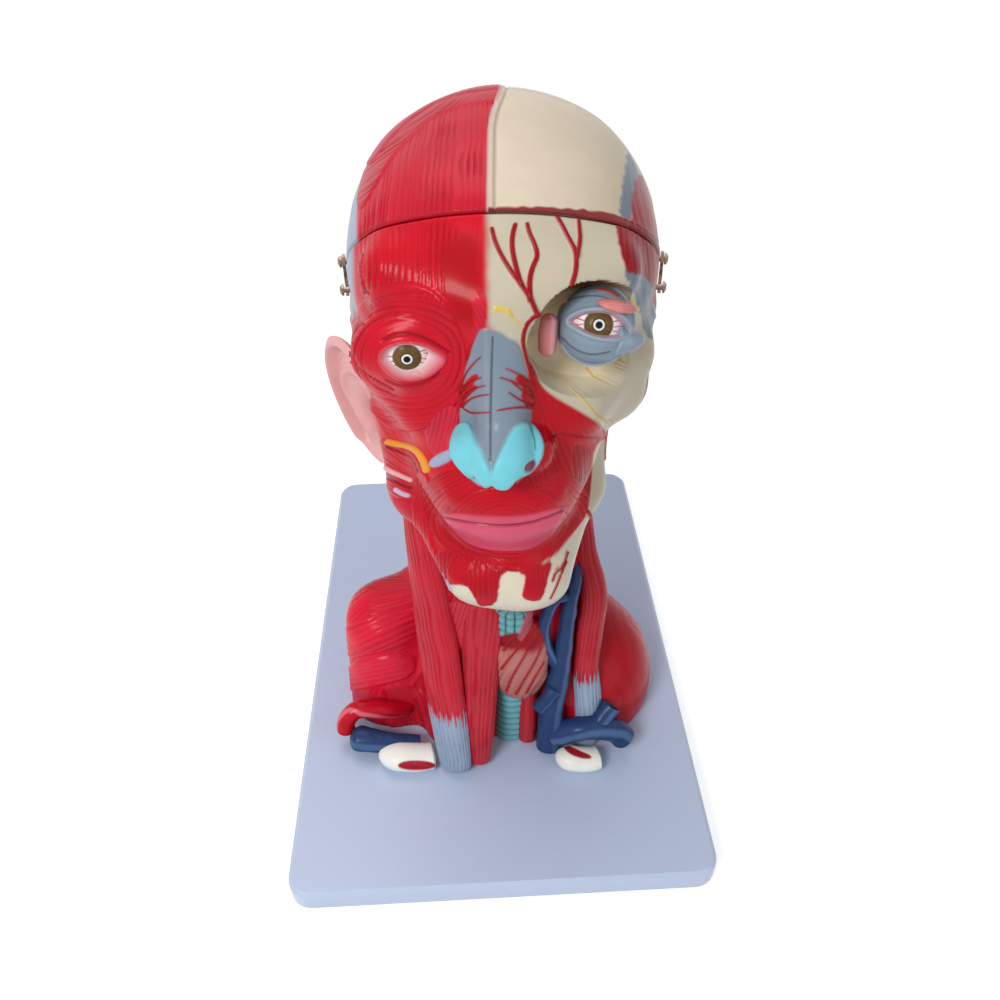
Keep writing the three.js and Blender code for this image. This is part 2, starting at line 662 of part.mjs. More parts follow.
const eyePull = new THREE.Vector3(...eyePullShare).normalize();
const leftEye = new THREE.Vector3(...scaled(leftEyeShare));
const rightEye = new THREE.Vector3(...scaled(rightEyeShare));

function opticNerve(extra) {
  const inset = eyeRadius / 2;
  const reach = eyeRadius + opticNerveDepth;
  const run = [leftEye.clone().addScaledVector(eyePull, -inset), leftEye.clone().addScaledVector(eyePull, -reach)];
  const radii = [opticNerveRadius, opticNerveRadius];
  return loftSolid(run, radii, radii, 1, 12, extra);
}

function addSkull() {
  let shell = bustBody.subtract(cavity).subtract(aboveCut).subtract(orbit).subtract(neckHollow());
  shell = shell.subtract(opticNerve(seatGap)).subtract(latchHoles);
  for (const [eye, gap] of [[rightEye, seatGap], [leftEye, pullGap]]) {
    shell = shell.subtract(ballSolid(eye.toArray(), grown([eyeRadius, eyeRadius, eyeRadius], gap)));
  }
  for (const place of screwPlaceShares) {
    const hole = cylinderSolid(screwRadius + seatGap, -cutOverrun, screwEngagement + screwRecess, 12);
    shell = shell.subtract(hole.translate([...scaled(place), 0]));
  }
  addSolid('head_and_neck', shell, muscleRed);
  addSolid('skull_cap', bustBody.subtract(cavity).subtract(belowCut).subtract(latchHoles), bone);
}

// Eyes: a fixed right one, and a left one that pulls out with its lids, gland and sac
function addEyes() {
  const ball = (centre, extra) => ballSolid(centre.toArray(), grown([eyeRadius, eyeRadius, eyeRadius], extra));
  addSolid('right_eyeball', ball(rightEye, 0), eyeWhite);
  addSolid('left_eyeball', ball(leftEye, 0).add(opticNerve(0)), eyeWhite);
  const near = (form) => leftEye.clone().add(new THREE.Vector3(...scaled(form.shift))).toArray();
  const lidBall = (extra) => ballSolid(near(lidShare), grown(scaled(lidShare.radii), extra));
  const lidBack = halfSpace(near(lidShare), eyePull.clone().negate(), lidThickness);
  const lids = (extra) => lidBall(extra).subtract(lidBack).add(rodSolid(leftEye, lidTailShare, extra));
  const slit = ballSolid(near(slitShare), scaled(slitShare.radii));
  const lidPlate = lids(0).subtract(ball(leftEye, seatGap)).subtract(slit);
  const clearOfShell = (solid) => solid.subtract(bustClear.subtract(orbit));
  addSolid('left_eyelids', clearOfShell(lidPlate), lidGrey);
  // The sac stays clear of the orbit's wall all along the pull, so the wall is taken off it step by step
  const wall = bustSkin(pullGap).subtract(shareBall(orbitShares, -pullGap, orbitSides, orbitRings));
  let sac = rodSolid(leftEye, sacShare).subtract(lids(seatGap)).subtract(ball(leftEye, seatGap));
  for (let step = 0; step <= pullStepCount; step += 1) {
    sac = sac.subtract(wall.translate(eyePull.clone().multiplyScalar(-step * pullStep).toArray()));
  }
  addSolid('left_lacrimal_sac', sac, glandPink);
  const gland = ballSolid(near(glandShare), scaled(glandShare.radii));
  const clearGland = gland.subtract(lids(seatGap)).subtract(ball(leftEye, seatGap));
  addSolid('left_lacrimal_gland', clearOfShell(clearGland), glandPink);
}

function addEar() {
  const { centre, radii, tilt, flare } = earShare;
  const rim = ballSolid(scaled(centre), scaled(radii), tilt, flare, 14, 11);
  const bowlCentre = scaled(centre.map((v, i) => v + conchaShare.shift[i]));
  const bowl = ballSolid(bowlCentre, scaled(conchaShare.radii), tilt, flare, 10, 8);
  const root = ballSolid(scaled(earRootShare.centre), scaled(earRootShare.radii), tilt, 0, 10, 8);
  addSolid('right_ear', rim.add(root).subtract(bowl).subtract(bustClear), skinPink);
}

// Neck: muscles, windpipe, gland, vessels and collar bone ends, each cut clear of those before it
function addNeckPieces() {
  const clavicle = (form, extra) => ballSolid(scaled(form.centre), grown(scaled(form.radii), extra), 0, 0, 12, 7);
  const jugular = (extra) => muscleSolid(jugularShares, extra, 10)
    .add(vesselSolid(jugularLoopShares, jugularLoopRadius, extra))
    .add(vesselSolid(subclavianRunShares, subclavianRadius, extra))
    .add(vesselSolid(subclavianStubShares, subclavianStubRadius, extra, 3));
  const pieces = [
    ['right_sternomastoid', (extra) => muscleSolid(rightSternomastoidShares, extra), muscleRed],
    ['left_sternomastoid', (extra) => muscleSolid(leftSternomastoidShares, extra), muscleRed],
    ['trachea', (extra) => vesselSolid(tracheaRunShares, tracheaRadius, extra, 6, 12), cartilageTeal],
    ['thyroid_gland', (extra) => muscleSolid(thyroidShares, extra, 6), glandPink],
    ['right_strap_muscle', (extra) => muscleSolid(strapMuscleShares, extra, 7), tendonRed],
    ['left_jugular_vein', jugular, veinBlue],
    ['left_carotid_artery', (extra) => vesselSolid(carotidRunShares, arteryRadius, extra, 6), arteryRed],
    ['right_subclavian_vein', (extra) => muscleSolid(rightVeinShares, extra, 6), veinBlue],
    ['right_subclavian_artery', (extra) => vesselSolid(rightArteryShares, arteryRadius, extra, 6), arteryRed],
    ['right_clavicle_end', (extra) => clavicle(rightClavicleShare, extra), bone],
    ['left_clavicle_end', (extra) => clavicle(leftClavicleShare, extra), bone],
  ];
  let taken = bustClear.add(belowFloor);
  for (const [name, form, material] of pieces) {
    addSolid(name, form(0).subtract(taken), material);
    taken = taken.add(form(seatGap));
  }
}

// Brain: one form that rests on the cavity's floor, cut in halves and each half in four
function addBrain() {
  const balls = cavityShares.map((form) => shareBall(form, -brainGap, cavitySides, cavityRings));
  const rest = cutNormal.clone().multiplyScalar(seatGap - brainGap);
  const whole = balls.reduce((all, ball) => all.add(ball)).translate(rest.toArray());
  const slope = (degrees) => {
    const turn = THREE.MathUtils.degToRad(degrees);
    return cutNormal.clone().multiplyScalar(Math.cos(turn)).addScaledVector(cutForward, Math.sin(turn));
  };
  const level = (cut, shift) => halfSpace(cutPoint, slope(cut.degrees), cut.height + shift);
  const stemPlace = new THREE.Vector3(...cutPoint).addScaledVector(cutForward, -stemRadius);
  const stem = (extra) => {
    const column = cylinderSolid(stemRadius + extra, -headSpan, -stemTop + extra, 20);
    const turned = new THREE.Matrix4().makeRotationX(-cutTilt).setPosition(stemPlace);
    return column.transform(turned.elements);
  };
  const half = pieceGap / 2;
  const lobes = {
    frontal_lobe: whole.intersect(level(temporalCut, half)).subtract(stem(half)),
    temporal_lobe: whole.subtract(level(temporalCut, -half)).intersect(level(tentoriumCut, half)).subtract(stem(half)),
    cerebellum: whole.subtract(level(tentoriumCut, -half)).subtract(stem(half)),
    brain_stem: whole.intersect(stem(-half)),
  };
  for (const [side, sign] of [['right', -1], ['left', 1]]) {
    const keep = halfSpace([0, 0, 0], new THREE.Vector3(sign, 0, 0), half);
    for (const [name, solid] of Object.entries(lobes)) {
      addSolid(`${side}_${name}`, solid.intersect(keep), brainPink);
    }
  }
}

// Board, feet, screws and washers
function roundedRectangle(width, length, radius) {
  const x = width / 2 - radius;
  const y = length / 2 - radius;
  const shape = new THREE.Shape();
  shape.absarc(x, y, radius, 0, Math.PI / 2);
  shape.absarc(-x, y, radius, Math.PI / 2, Math.PI);
  shape.absarc(-x, -y, radius, Math.PI, Math.PI * 1.5);
  shape.absarc(x, -y, radius, Math.PI * 1.5, Math.PI * 2);
  return shape;
}

const footX = boardWidth / 2 - footInset;
const footY = boardLength / 2 - footInset;
const footPlaces = [[-footX, -footY], [footX, -footY], [-footX, footY], [footX, footY]];
const plateUnderside = -seatGap - boardWall;

function addBoard() {
  const block = toSolid(
    new THREE.ExtrudeGeometry(roundedRectangle(boardWidth, boardLength, boardCornerRadius), {
      depth: boardThickness - 2 * boardEdgeBevel,
      bevelThickness: boardEdgeBevel,
      bevelSize: boardEdgeBevel,
      bevelOffset: -boardEdgeBevel,
      bevelSegments: 1,
      curveSegments: 3,
    }).translate(0, 0, footHeight + boardEdgeBevel),
  );
  const innerWidth = boardWidth - 2 * boardWall;
  const innerLength = boardLength - 2 * boardWall;
  const innerCorner = boardCornerRadius - boardWall;
  let hollow = toSolid(
    new THREE.ExtrudeGeometry(roundedRectangle(innerWidth, innerLength, innerCorner), {
      depth: boardThickness - boardWall + cutOverrun,
      bevelEnabled: false,
      curveSegments: 3,
    }).translate(0, 0, footHeight - cutOverrun),
  );
  for (const place of footPlaces) {
    const post = cylinderSolid(footStemRadius + footPostWall, footHeight, boardTop, 14);
    hollow = hollow.subtract(post.translate([...place, 0]));
  }
  let board = block.subtract(hollow);
  for (const place of footPlaces) {
    const socket = cylinderSolid(footStemRadius + seatGap, -cutOverrun, footHeight + footStemLength + seatGap, 14);
    board = board.subtract(socket.translate([...place, 0]));
  }
  bust.updateMatrix();
  for (const place of screwPlaceShares) {
    const hole = cylinderSolid(screwRadius + seatGap, -cutOverrun, cutOverrun, 12).translate([...scaled(place), 0]);
    board = board.subtract(hole.transform(bust.matrix.elements));
  }
  addMesh(model, 'base_board', toGeometry(board), boardWhite);
}

function addFeet() {
  const top = footHeight - seatGap;
  const foot = turnedGeometry([
    [0, 0],
    [footRadius - footEdgeChamfer, 0],
    [footRadius, footEdgeChamfer],
    [footRadius, top],
    [footStemRadius, top],
    [footStemRadius, footHeight + footStemLength],
    [0, footHeight + footStemLength],
  ]);
  footPlaces.forEach(([x, y], i) => addMesh(model, `rubber_foot_${i + 1}`, foot, rubber).position.set(x, y, 0));
}

// A pan head screw with a cross recess, and its washer
function addScrews() {
  const headTop = plateUnderside - washerThickness - 2 * seatGap;
  const screwBody = toSolid(turnedGeometry([
    [0, headTop - screwHeadHeight],
    [screwHeadRadius / 2, headTop - screwHeadHeight],
    [screwHeadRadius, headTop - screwHeadHeight / 2],
    [screwHeadRadius, headTop],
    [screwRadius, headTop],
    [screwRadius, screwEngagement - screwRadius],
    [screwRadius / 2, screwEngagement],
    [0, screwEngagement],
  ], 10));
  const slotLength = screwHeadRadius;
  const slotWidth = screwRecess;
  const slot = toSolid(new THREE.BoxGeometry(slotLength, slotWidth, 2 * screwRecess));
  const crossing = slot.add(toSolid(new THREE.BoxGeometry(slotWidth, slotLength, 2 * screwRecess)));
  const screw = toGeometry(screwBody.subtract(crossing.translate([0, 0, headTop - screwHeadHeight])));
  const washerTop = plateUnderside - seatGap;
  const washer = turnedGeometry([
    [screwRadius + seatGap, washerTop - washerThickness],
    [washerRadius, washerTop - washerThickness],
    [washerRadius, washerTop],
    [screwRadius + seatGap, washerTop],
    [screwRadius + seatGap, washerTop - washerThickness],
  ]);
  screwPlaceShares.forEach((place, i) => {
    const [x, y] = scaled(place);
    addMesh(bust, `base_screw_${i + 1}`, screw, steel).position.set(x, y, 0);
    addMesh(bust, `base_washer_${i + 1}`, washer, steel).position.set(x, y, 0);
  });
}

addBoard();
addFeet();
addScrews();
addSkull();
addEar();
addEyes();
addNeckPieces();
addBrain();

export default model;
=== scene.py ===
import math

import bpy
import numpy as np
from mathutils import Matrix, Vector


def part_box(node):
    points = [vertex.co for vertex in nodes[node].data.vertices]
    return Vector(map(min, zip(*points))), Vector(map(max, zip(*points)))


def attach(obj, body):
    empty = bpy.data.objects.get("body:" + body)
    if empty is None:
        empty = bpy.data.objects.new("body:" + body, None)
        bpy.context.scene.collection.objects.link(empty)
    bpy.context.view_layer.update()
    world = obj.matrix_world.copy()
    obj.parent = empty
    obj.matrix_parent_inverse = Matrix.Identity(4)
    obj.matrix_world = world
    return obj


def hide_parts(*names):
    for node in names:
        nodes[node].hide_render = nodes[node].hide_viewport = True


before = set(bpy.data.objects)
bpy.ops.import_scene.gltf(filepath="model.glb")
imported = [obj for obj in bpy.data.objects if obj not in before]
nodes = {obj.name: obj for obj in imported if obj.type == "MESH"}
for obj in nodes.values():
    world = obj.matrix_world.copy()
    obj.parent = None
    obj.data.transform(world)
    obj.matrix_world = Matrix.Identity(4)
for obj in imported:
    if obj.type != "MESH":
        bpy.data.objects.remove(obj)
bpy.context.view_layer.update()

# Lengths are in millimetres in the bust's own frame, or shares of SPAN where a comment says so.
# What Blender's lights, modifiers and materials take is in metres.
MM = 0.001
SPAN = 200.0
# Where the bust's frame stands on the board, and how far it is turned
BUST_AT = np.array([11.5, 0.0, 20.35])
BUST_TURN = math.radians(-3.3)
# The cut that frees the skull cap
CUT_TILT = math.radians(42)
CUT_POINT = np.array([0.0, -0.01, 1.338]) * SPAN
CUT_NORMAL = np.array([0.0, math.sin(CUT_TILT), math.cos(CUT_TILT)])
CUT_GAP = 0.35
# Share of the full number of rows and columns in each mesh
DETAIL = 1.0

# The camera of the photograph, in millimetres and radians
LENS_PIXELS = 892.877
IMAGE_SIZE = 1000
CAMERA_AT = np.array([-7.739, -419.439, 495.847])
PITCH, YAW, ROLL = 0.696643, 0.037293, 0.018221


def camera_axes():
    ahead = np.array([math.sin(YAW) * math.cos(PITCH), math.cos(YAW) * math.cos(PITCH), -math.sin(PITCH)])
    level = np.array([math.cos(YAW), -math.sin(YAW), 0.0])
    down = np.cross(ahead, level)
    right = level * math.cos(ROLL) + down * math.sin(ROLL)
    below = -level * math.sin(ROLL) + down * math.cos(ROLL)
    return right, below, ahead


RIGHT, BELOW, AHEAD = camera_axes()


def turned(a, b, angle):
    """Two coordinates, turned about the third axis."""
    c, s = math.cos(angle), math.sin(angle)
    return a * c - b * s, a * s + b * c


def to_world(p):
    x, y = turned(p[..., 0], p[..., 1], BUST_TURN)
    return np.stack([x, y, p[..., 2]], -1) + BUST_AT


def to_bust(p):
    q = np.asarray(p, float) - BUST_AT
    x, y = turned(q[..., 0], q[..., 1], -BUST_TURN)
    return np.stack([x, y, q[..., 2]], -1)


# Where a point falls in the photograph, and the line of sight through a pixel of it
def picture_place(world):
    q = world - CAMERA_AT
    depth = q @ AHEAD
    return IMAGE_SIZE / 2 + LENS_PIXELS * (q @ RIGHT) / depth, IMAGE_SIZE / 2 + LENS_PIXELS * (q @ BELOW) / depth


def picture_ray(u, v):
    ray = AHEAD + RIGHT * (u - IMAGE_SIZE / 2) / LENS_PIXELS + BELOW * (v - IMAGE_SIZE / 2) / LENS_PIXELS
    return ray / np.linalg.norm(ray)


# Forms of the head and neck, the cavity, the orbit and the shoulder's cut face, as shares of SPAN
HEAD_FORMS = [
    dict(ball=(0, -0.01, 1.415), radii=(0.3825, 0.44, 0.395), tilt=12),
    dict(ball=(0, -0.24, 1.5), radii=(0.3, 0.235, 0.23), tilt=11, blend=0.12),
    dict(ball=(0, -0.29, 1.23), radii=(0.26, 0.24, 0.28), blend=0.12),
    dict(ball=(0, -0.36, 1.04), radii=(0.19, 0.21, 0.2), blend=0.12),
    dict(ball=(0.02, -0.515, 0.815), radii=(0.1, 0.085, 0.1), blend=0.08),
    dict(rod=(-0.085, -0.51, 0.8), to=(-0.215, -0.25, 0.885), ends=(0.06, 0.06), blend=0.08),
    dict(rod=(0.1, -0.51, 0.8), to=(0.19, -0.25, 0.885), ends=(0.06, 0.058), blend=0.08),
    dict(rod=(-0.215, -0.25, 0.885), to=(-0.255, -0.13, 1.21), ends=(0.06, 0.055), blend=0.08),
    dict(rod=(0.19, -0.25, 0.885), to=(0.23, -0.14, 1.21), ends=(0.058, 0.05), blend=0.08),
    dict(rod=(-0.22, -0.28, 0.91), to=(-0.255, -0.3, 1.17), ends=(0.072, 0.06), blend=0.07),
    dict(pair=True, rod=(0.17, -0.42, 1.27), to=(0.29, -0.29, 1.305), ends=(0.06, 0.05), blend=0.07),
    dict(ball=(0.265, -0.29, 1.212), radii=(0.07, 0.08, 0.07), blend=0.06),
    dict(pair=True, rod=(0.29, -0.29, 1.305), to=(0.335, -0.11, 1.325), ends=(0.04, 0.035), blend=0.05),
    dict(pair=True, rod=(0.05, -0.465, 1.53), to=(0.23, -0.39, 1.56), ends=(0.04, 0.04), blend=0.09),
    dict(ball=(-0.2, -0.455, 1.415), radii=(0.11, 0.04, 0.075), blend=0.06),
    dict(ball=(0.005, -0.485, 1.08), radii=(0.14, 0.095, 0.13), blend=0.07),
    dict(ball=(0.005, -0.545, 1.1), radii=(0.115, 0.04, 0.035), blend=0.04),
    dict(ball=(0.005, -0.535, 1.03), radii=(0.105, 0.04, 0.035), blend=0.04),
    dict(rod=(0, -0.46, 1.49), to=(0, -0.57, 1.27), ends=(0.04, 0.045), blend=0.06),
    dict(ball=(0, -0.605, 1.235), radii=(0.055, 0.06, 0.055), blend=0.04),
    dict(pair=True, ball=(0.065, -0.55, 1.225), radii=(0.045, 0.06, 0.045), blend=0.025),
    dict(ball=(-0.2, -0.4355, 1.42), radii=(0.0735, 0.0735, 0.0735), blend=0.035),
]
NECK_FORMS = [
    dict(rod=(-0.01, -0.19, 0), to=(-0.01, -0.13, 0.925), ends=(0.19, 0.21)),
    dict(rod=(-0.03, 0.03, 0), to=(-0.015, 0.04, 0.975), ends=(0.26, 0.2), blend=0.1),
    dict(rod=(-0.14, -0.34, 0), to=(-0.08, -0.185, 0.725), ends=(0.125, 0.12), blend=0.07),
    dict(rod=(0.16, -0.3, 0), to=(0.1, -0.16, 0.75), ends=(0.11, 0.11), blend=0.07),
    dict(rod=(-0.365, -0.22, 0), to=(-0.38, -0.18, 0.275), ends=(0.16, 0.13), blend=0.07),
    dict(rod=(-0.36, -0.15, 0.24), to=(-0.12, 0.02, 0.4), ends=(0.12, 0.07), blend=0.05),
    dict(ball=(0.243, -0.18, 0.055), radii=(0.225, 0.255, 0.235), blend=0.06),
    dict(rod=(0.19, -0.13, 0.13), to=(0.07, 0.035, 0.66), ends=(0.16, 0.095), blend=0.08),
]
CAVITY_FORMS = [
    dict(ball=(0, 0.02, 1.388), radii=(0.34, 0.37, 0.355), tilt=12),
    dict(ball=(0, -0.21, 1.568), radii=(0.25, 0.18, 0.13), blend=0.0),
]
CAVITY_CENTRE = np.array([0.0, 0.0, 1.42])
ORBIT_CENTRE = np.array([0.183, -0.452, 1.431])
ORBIT_RADII = np.array([0.163, 0.1, 0.152])
ORBIT_TILT = math.radians(-24)
SHOULDER_CUT = 0.512
# Rays that find the skin: share along it, start as shares of SPAN, and degrees up at the front and back
RAYS = np.array([
    [0, -0.05, -0.125, 0, 0, 0],
    [0.12, -0.04, -0.125, 0.35, 0, 0],
    [0.2, -0.03, -0.14, 0.575, -6, 0],
    [0.27, -0.02, -0.18, 0.75, -24, -2],
    [0.33, -0.01, -0.21, 0.9, -34, -4],
    [0.4, -0.01, -0.24, 0.97, -12, -6],
    [0.55, -0.01, -0.22, 1.19, 0, -4],
    [0.68, 0, -0.14, 1.36, 3, 0],
    [0.76, 0, -0.06, 1.4, 20, 8],
    [1, 0, -0.03, 1.41, 90, 90],
])
FRONT_CROWDING = 0.42
RIGHT_EYE = np.array([-0.2, -0.4355, 1.42]) * SPAN
LEFT_EYE = np.array([0.198, -0.42, 1.455]) * SPAN
EYE_RADIUS = 13.4
# Gaps and covers between pieces that move or meet
EYE_SEAT_GAP = 0.8
LID_COVER = 1.6
CROWN_DROP = 1.9
EDGE_ROUNDING = 0.9
HOOK_REACH = 25
HOOK_ROOM = 0.5
# How the forms are solved and meshed, and the light
MARCH_STEP = 0.85
SKIN_COLUMNS, CAP_ROWS, BASE_ROWS, CAVITY_ROWS, CUT_ROWS = 820, 300, 640, 40, 240
IRIS_RADIUS = 6.05
CATCHLIGHT_RADIUS = 1.85
FLOOR_GAP = 0.2
FAINT = 0.002
TINY = 1e-12
WORLD_LIGHT = 0.4
STATIC = "bust_on_board"


def ball_distance(p, form):
    q = p - np.array(form["ball"])
    y, z = turned(q[:, 1], q[:, 2], math.radians(form.get("tilt", 0)))
    a, b, c = form["radii"]
    near = np.sqrt((q[:, 0] / a) ** 2 + (y / b) ** 2 + (z / c) ** 2)
    slope = np.sqrt((q[:, 0] / a / a) ** 2 + (y / b / b) ** 2 + (z / c / c) ** 2) + 1e-9
    return near * (near - 1) / slope


def rod_distance(p, form):
    start = np.array(form["rod"], float)
    along = np.array(form["to"], float) - start
    t = np.clip(((p - start) @ along) / (along @ along), 0, 1)
    reach = np.sqrt(((p - start - t[:, None] * along) ** 2).sum(-1))
    return reach - (form["ends"][0] + (form["ends"][1] - form["ends"][0]) * t)


def smooth_join(a, b, blend):
    if blend <= 0:
        return np.minimum(a, b)
    h = np.maximum(blend - np.abs(a - b), 0) / blend
    return np.minimum(a, b) - h * h * blend / 4


def forms_distance(p, forms):
    distance = None
    for form in forms:
        for side in (1, -1) if form.get("pair") else (1,):
            q = p * np.array([side, 1, 1])
            d = ball_distance(q, form) if "ball" in form else rod_distance(q, form)
            distance = d if distance is None else smooth_join(distance, d, form["blend"])
    return distance


def bust_distance(p):
    neck = forms_distance(p, NECK_FORMS)
    neck = -smooth_join(-neck, p[:, 0] + SHOULDER_CUT, 0.025)
    return smooth_join(forms_distance(p, HEAD_FORMS), neck, 0.09)


def ray_grid(t, turn):
    values = [np.interp(t, RAYS[:, 0], RAYS[:, k]) for k in range(1, 6)]
    start = np.stack(values[:3], -1)
    lift = np.radians(values[4] + (values[3] - values[4]) * (1 + np.cos(turn)) / 2)
    out = np.stack([np.sin(turn) * np.cos(lift), -np.cos(turn) * np.cos(lift), np.sin(lift)], -1)
    return start, out


def march(start, out, reach, steps, distance):
    shape = reach.shape
    start, out, s = start.reshape(-1, 3), out.reshape(-1, 3), reach.ravel().copy()
    for _ in range(steps):
        s -= distance(start + out * s[:, None]) * MARCH_STEP
    return s.reshape(shape)


def widen(a, rows, columns):
    for axis, count in ((0, rows), (1, columns)):
        at = np.linspace(0, a.shape[axis] - 1, count)
        low = np.minimum(at.astype(int), a.shape[axis] - 2)
        part = (at - low).reshape((-1, 1) if axis == 0 else (1, -1))
        a = np.take(a, low, axis) * (1 - part) + np.take(a, low + 1, axis) * part
    return a


def surface(t, turn, coarse=6):
    """The skin at each ray, in shares: few rays solved well, then all of them from those."""
    start, out = ray_grid(t[::coarse, ::coarse], turn[::coarse, ::coarse])
    first = march(start, out, np.full(start.shape[:2], 0.9), 36, bust_distance)
    start, out = ray_grid(t, turn)
    rows, columns = t.shape
    guess = widen(first, (first.shape[0] - 1) * coarse + 1, (first.shape[1] - 1) * coarse + 1)
    guess = np.pad(guess, ((0, max(0, rows - guess.shape[0])), (0, max(0, columns - guess.shape[1]))), "edge")
    reach = march(start, out, guess[:rows, :columns], 5, bust_distance)
    return start, out, reach


def ball_crossing(start, out, centre, radii, tilt=0.0):
    """How far along each ray it enters and leaves a tilted ellipsoid."""
    q, d = (np.stack([v[..., 0], *turned(v[..., 1], v[..., 2], tilt)], -1) / radii for v in (start - centre, out))
    a, b, c = (d * d).sum(-1), (q * d).sum(-1), (q * q).sum(-1) - 1
    root = b * b - a * c
    half = np.sqrt(np.maximum(root, 0))
    return np.where(root > 0, (-b - half) / a, 9), np.where(root > 0, (-b + half) / a, -9)


def into_orbit(start, out, reach):
    near, far = ball_crossing(start, out, ORBIT_CENTRE, ORBIT_RADII, ORBIT_TILT)
    enters = (near > 0) & (near < reach) & (far > reach)
    seat, _ = ball_crossing(start, out, LEFT_EYE / SPAN, (EYE_RADIUS + EYE_SEAT_GAP) / SPAN)
    near = np.where(seat > 0, np.minimum(near, seat), near)
    depth = np.where(enters, reach - near, 0)
    return np.where(enters, near, reach), depth


# Value noise on a lattice: numbers from a fixed mixing of the cell, so every run gives the same
def noise(p, size, seed=0):
    q = p / size
    cell = np.floor(q).astype(np.int64)
    f = q - cell
    f = f * f * (3 - 2 * f)
    total = np.zeros(len(p))
    for corner in range(8):
        bit = np.array([corner & 1, (corner >> 1) & 1, (corner >> 2) & 1])
        c = cell + bit
        n = (c[:, 0] * 374761393 + c[:, 1] * 668265263 + c[:, 2] * 1442695041 + seed * 974711) & 0xFFFFFFFF
        n = ((n ^ (n >> 13)) * 1274126177) & 0xFFFFFFFF
        n = (n ^ (n >> 16)) & 0xFFFF
        total += n / 65535.0 * np.prod(np.where(bit, f, 1 - f), axis=1)
    return total


def smooth(low, high, x):
    t = np.clip((x - low) / (high - low), 0, 1)
    return t * t * (3 - 2 * t)


def linear(color):
    c = np.asarray(color, float) / 255
    return np.where(c <= 0.04045, c / 12.92, ((c + 0.055) / 1.055) ** 2.4)


def rounded(points, closed, times=2):
    p = np.array(points, float)
    for _ in range(times):
        if closed:
            q = np.roll(p, -1, 0)
            p = np.stack([p * 0.75 + q * 0.25, p * 0.25 + q * 0.75], 1).reshape(-1, 2)
        else:
            a, b = p[:-1], p[1:]
            inner = np.stack([a * 0.75 + b * 0.25, a * 0.25 + b * 0.75], 1).reshape(-1, 2)
            p = np.concatenate([p[:1], inner, p[-1:]])
    return p


def inside_distance(u, v, outline):
    best = np.full(u.shape, 1e9)
    inside = np.zeros(u.shape, bool)
    for (ax, ay), (bx, by) in zip(outline, np.roll(outline, -1, 0)):
        ex, ey = bx - ax, by - ay
        t = np.clip(((u - ax) * ex + (v - ay) * ey) / (ex * ex + ey * ey + TINY), 0, 1)
        best = np.minimum(best, np.hypot(u - ax - t * ex, v - ay - t * ey))
        if ay != by:
            inside ^= ((ay > v) != (by > v)) & (u < ex * (v - ay) / ey + ax)
    return np.where(inside, best, -best)


def ridge(s):
    return np.abs(np.sin(np.pi * s)) ** 0.55


def across_noise(s, size, seed):
    return noise(np.stack([s, np.zeros_like(s), np.zeros_like(s)], -1), size, seed)


def fibres(s, p, period, seed=1, sway=1.0):
    """Rounded strands across s, each with its own width and strength, from 0 in a groove to 1 on a strand."""
    q = s / period
    q = q + 1.1 * across_noise(q, 1.7, seed) + sway * (0.5 * noise(p, 15.0, seed) + 0.12 * noise(p, 5.0, seed + 1))
    own = 0.45 + 0.75 * across_noise(np.floor(q), 0.9, seed + 4)
    fading = 0.4 + 0.75 * smooth(0.2, 0.75, noise(p, 12.0, seed + 3))
    depth = np.clip(own * fading, 0, 1.1)
    fine = ridge(q * 2.3 + 0.3)
    return 1 - (1 - 0.74 * ridge(q) - 0.26 * fine) * depth - 0.1 * noise(p, 9.0, seed + 2)


MUSCLE = (184, 6, 26)
BONE = (192, 182, 160)
GREY = (118, 130, 144)
GALEA = (150, 168, 190)
ARTERY = (150, 6, 18)
TEAL = (116, 200, 212)
YELLOW = (216, 184, 80)
VEIN = (38, 60, 102)
VEIN_SHINE = (92, 124, 170)
# Near black: painted shade inside the bored ends of tubes
PAINTED_BORE_SHADE = (20, 10, 14)


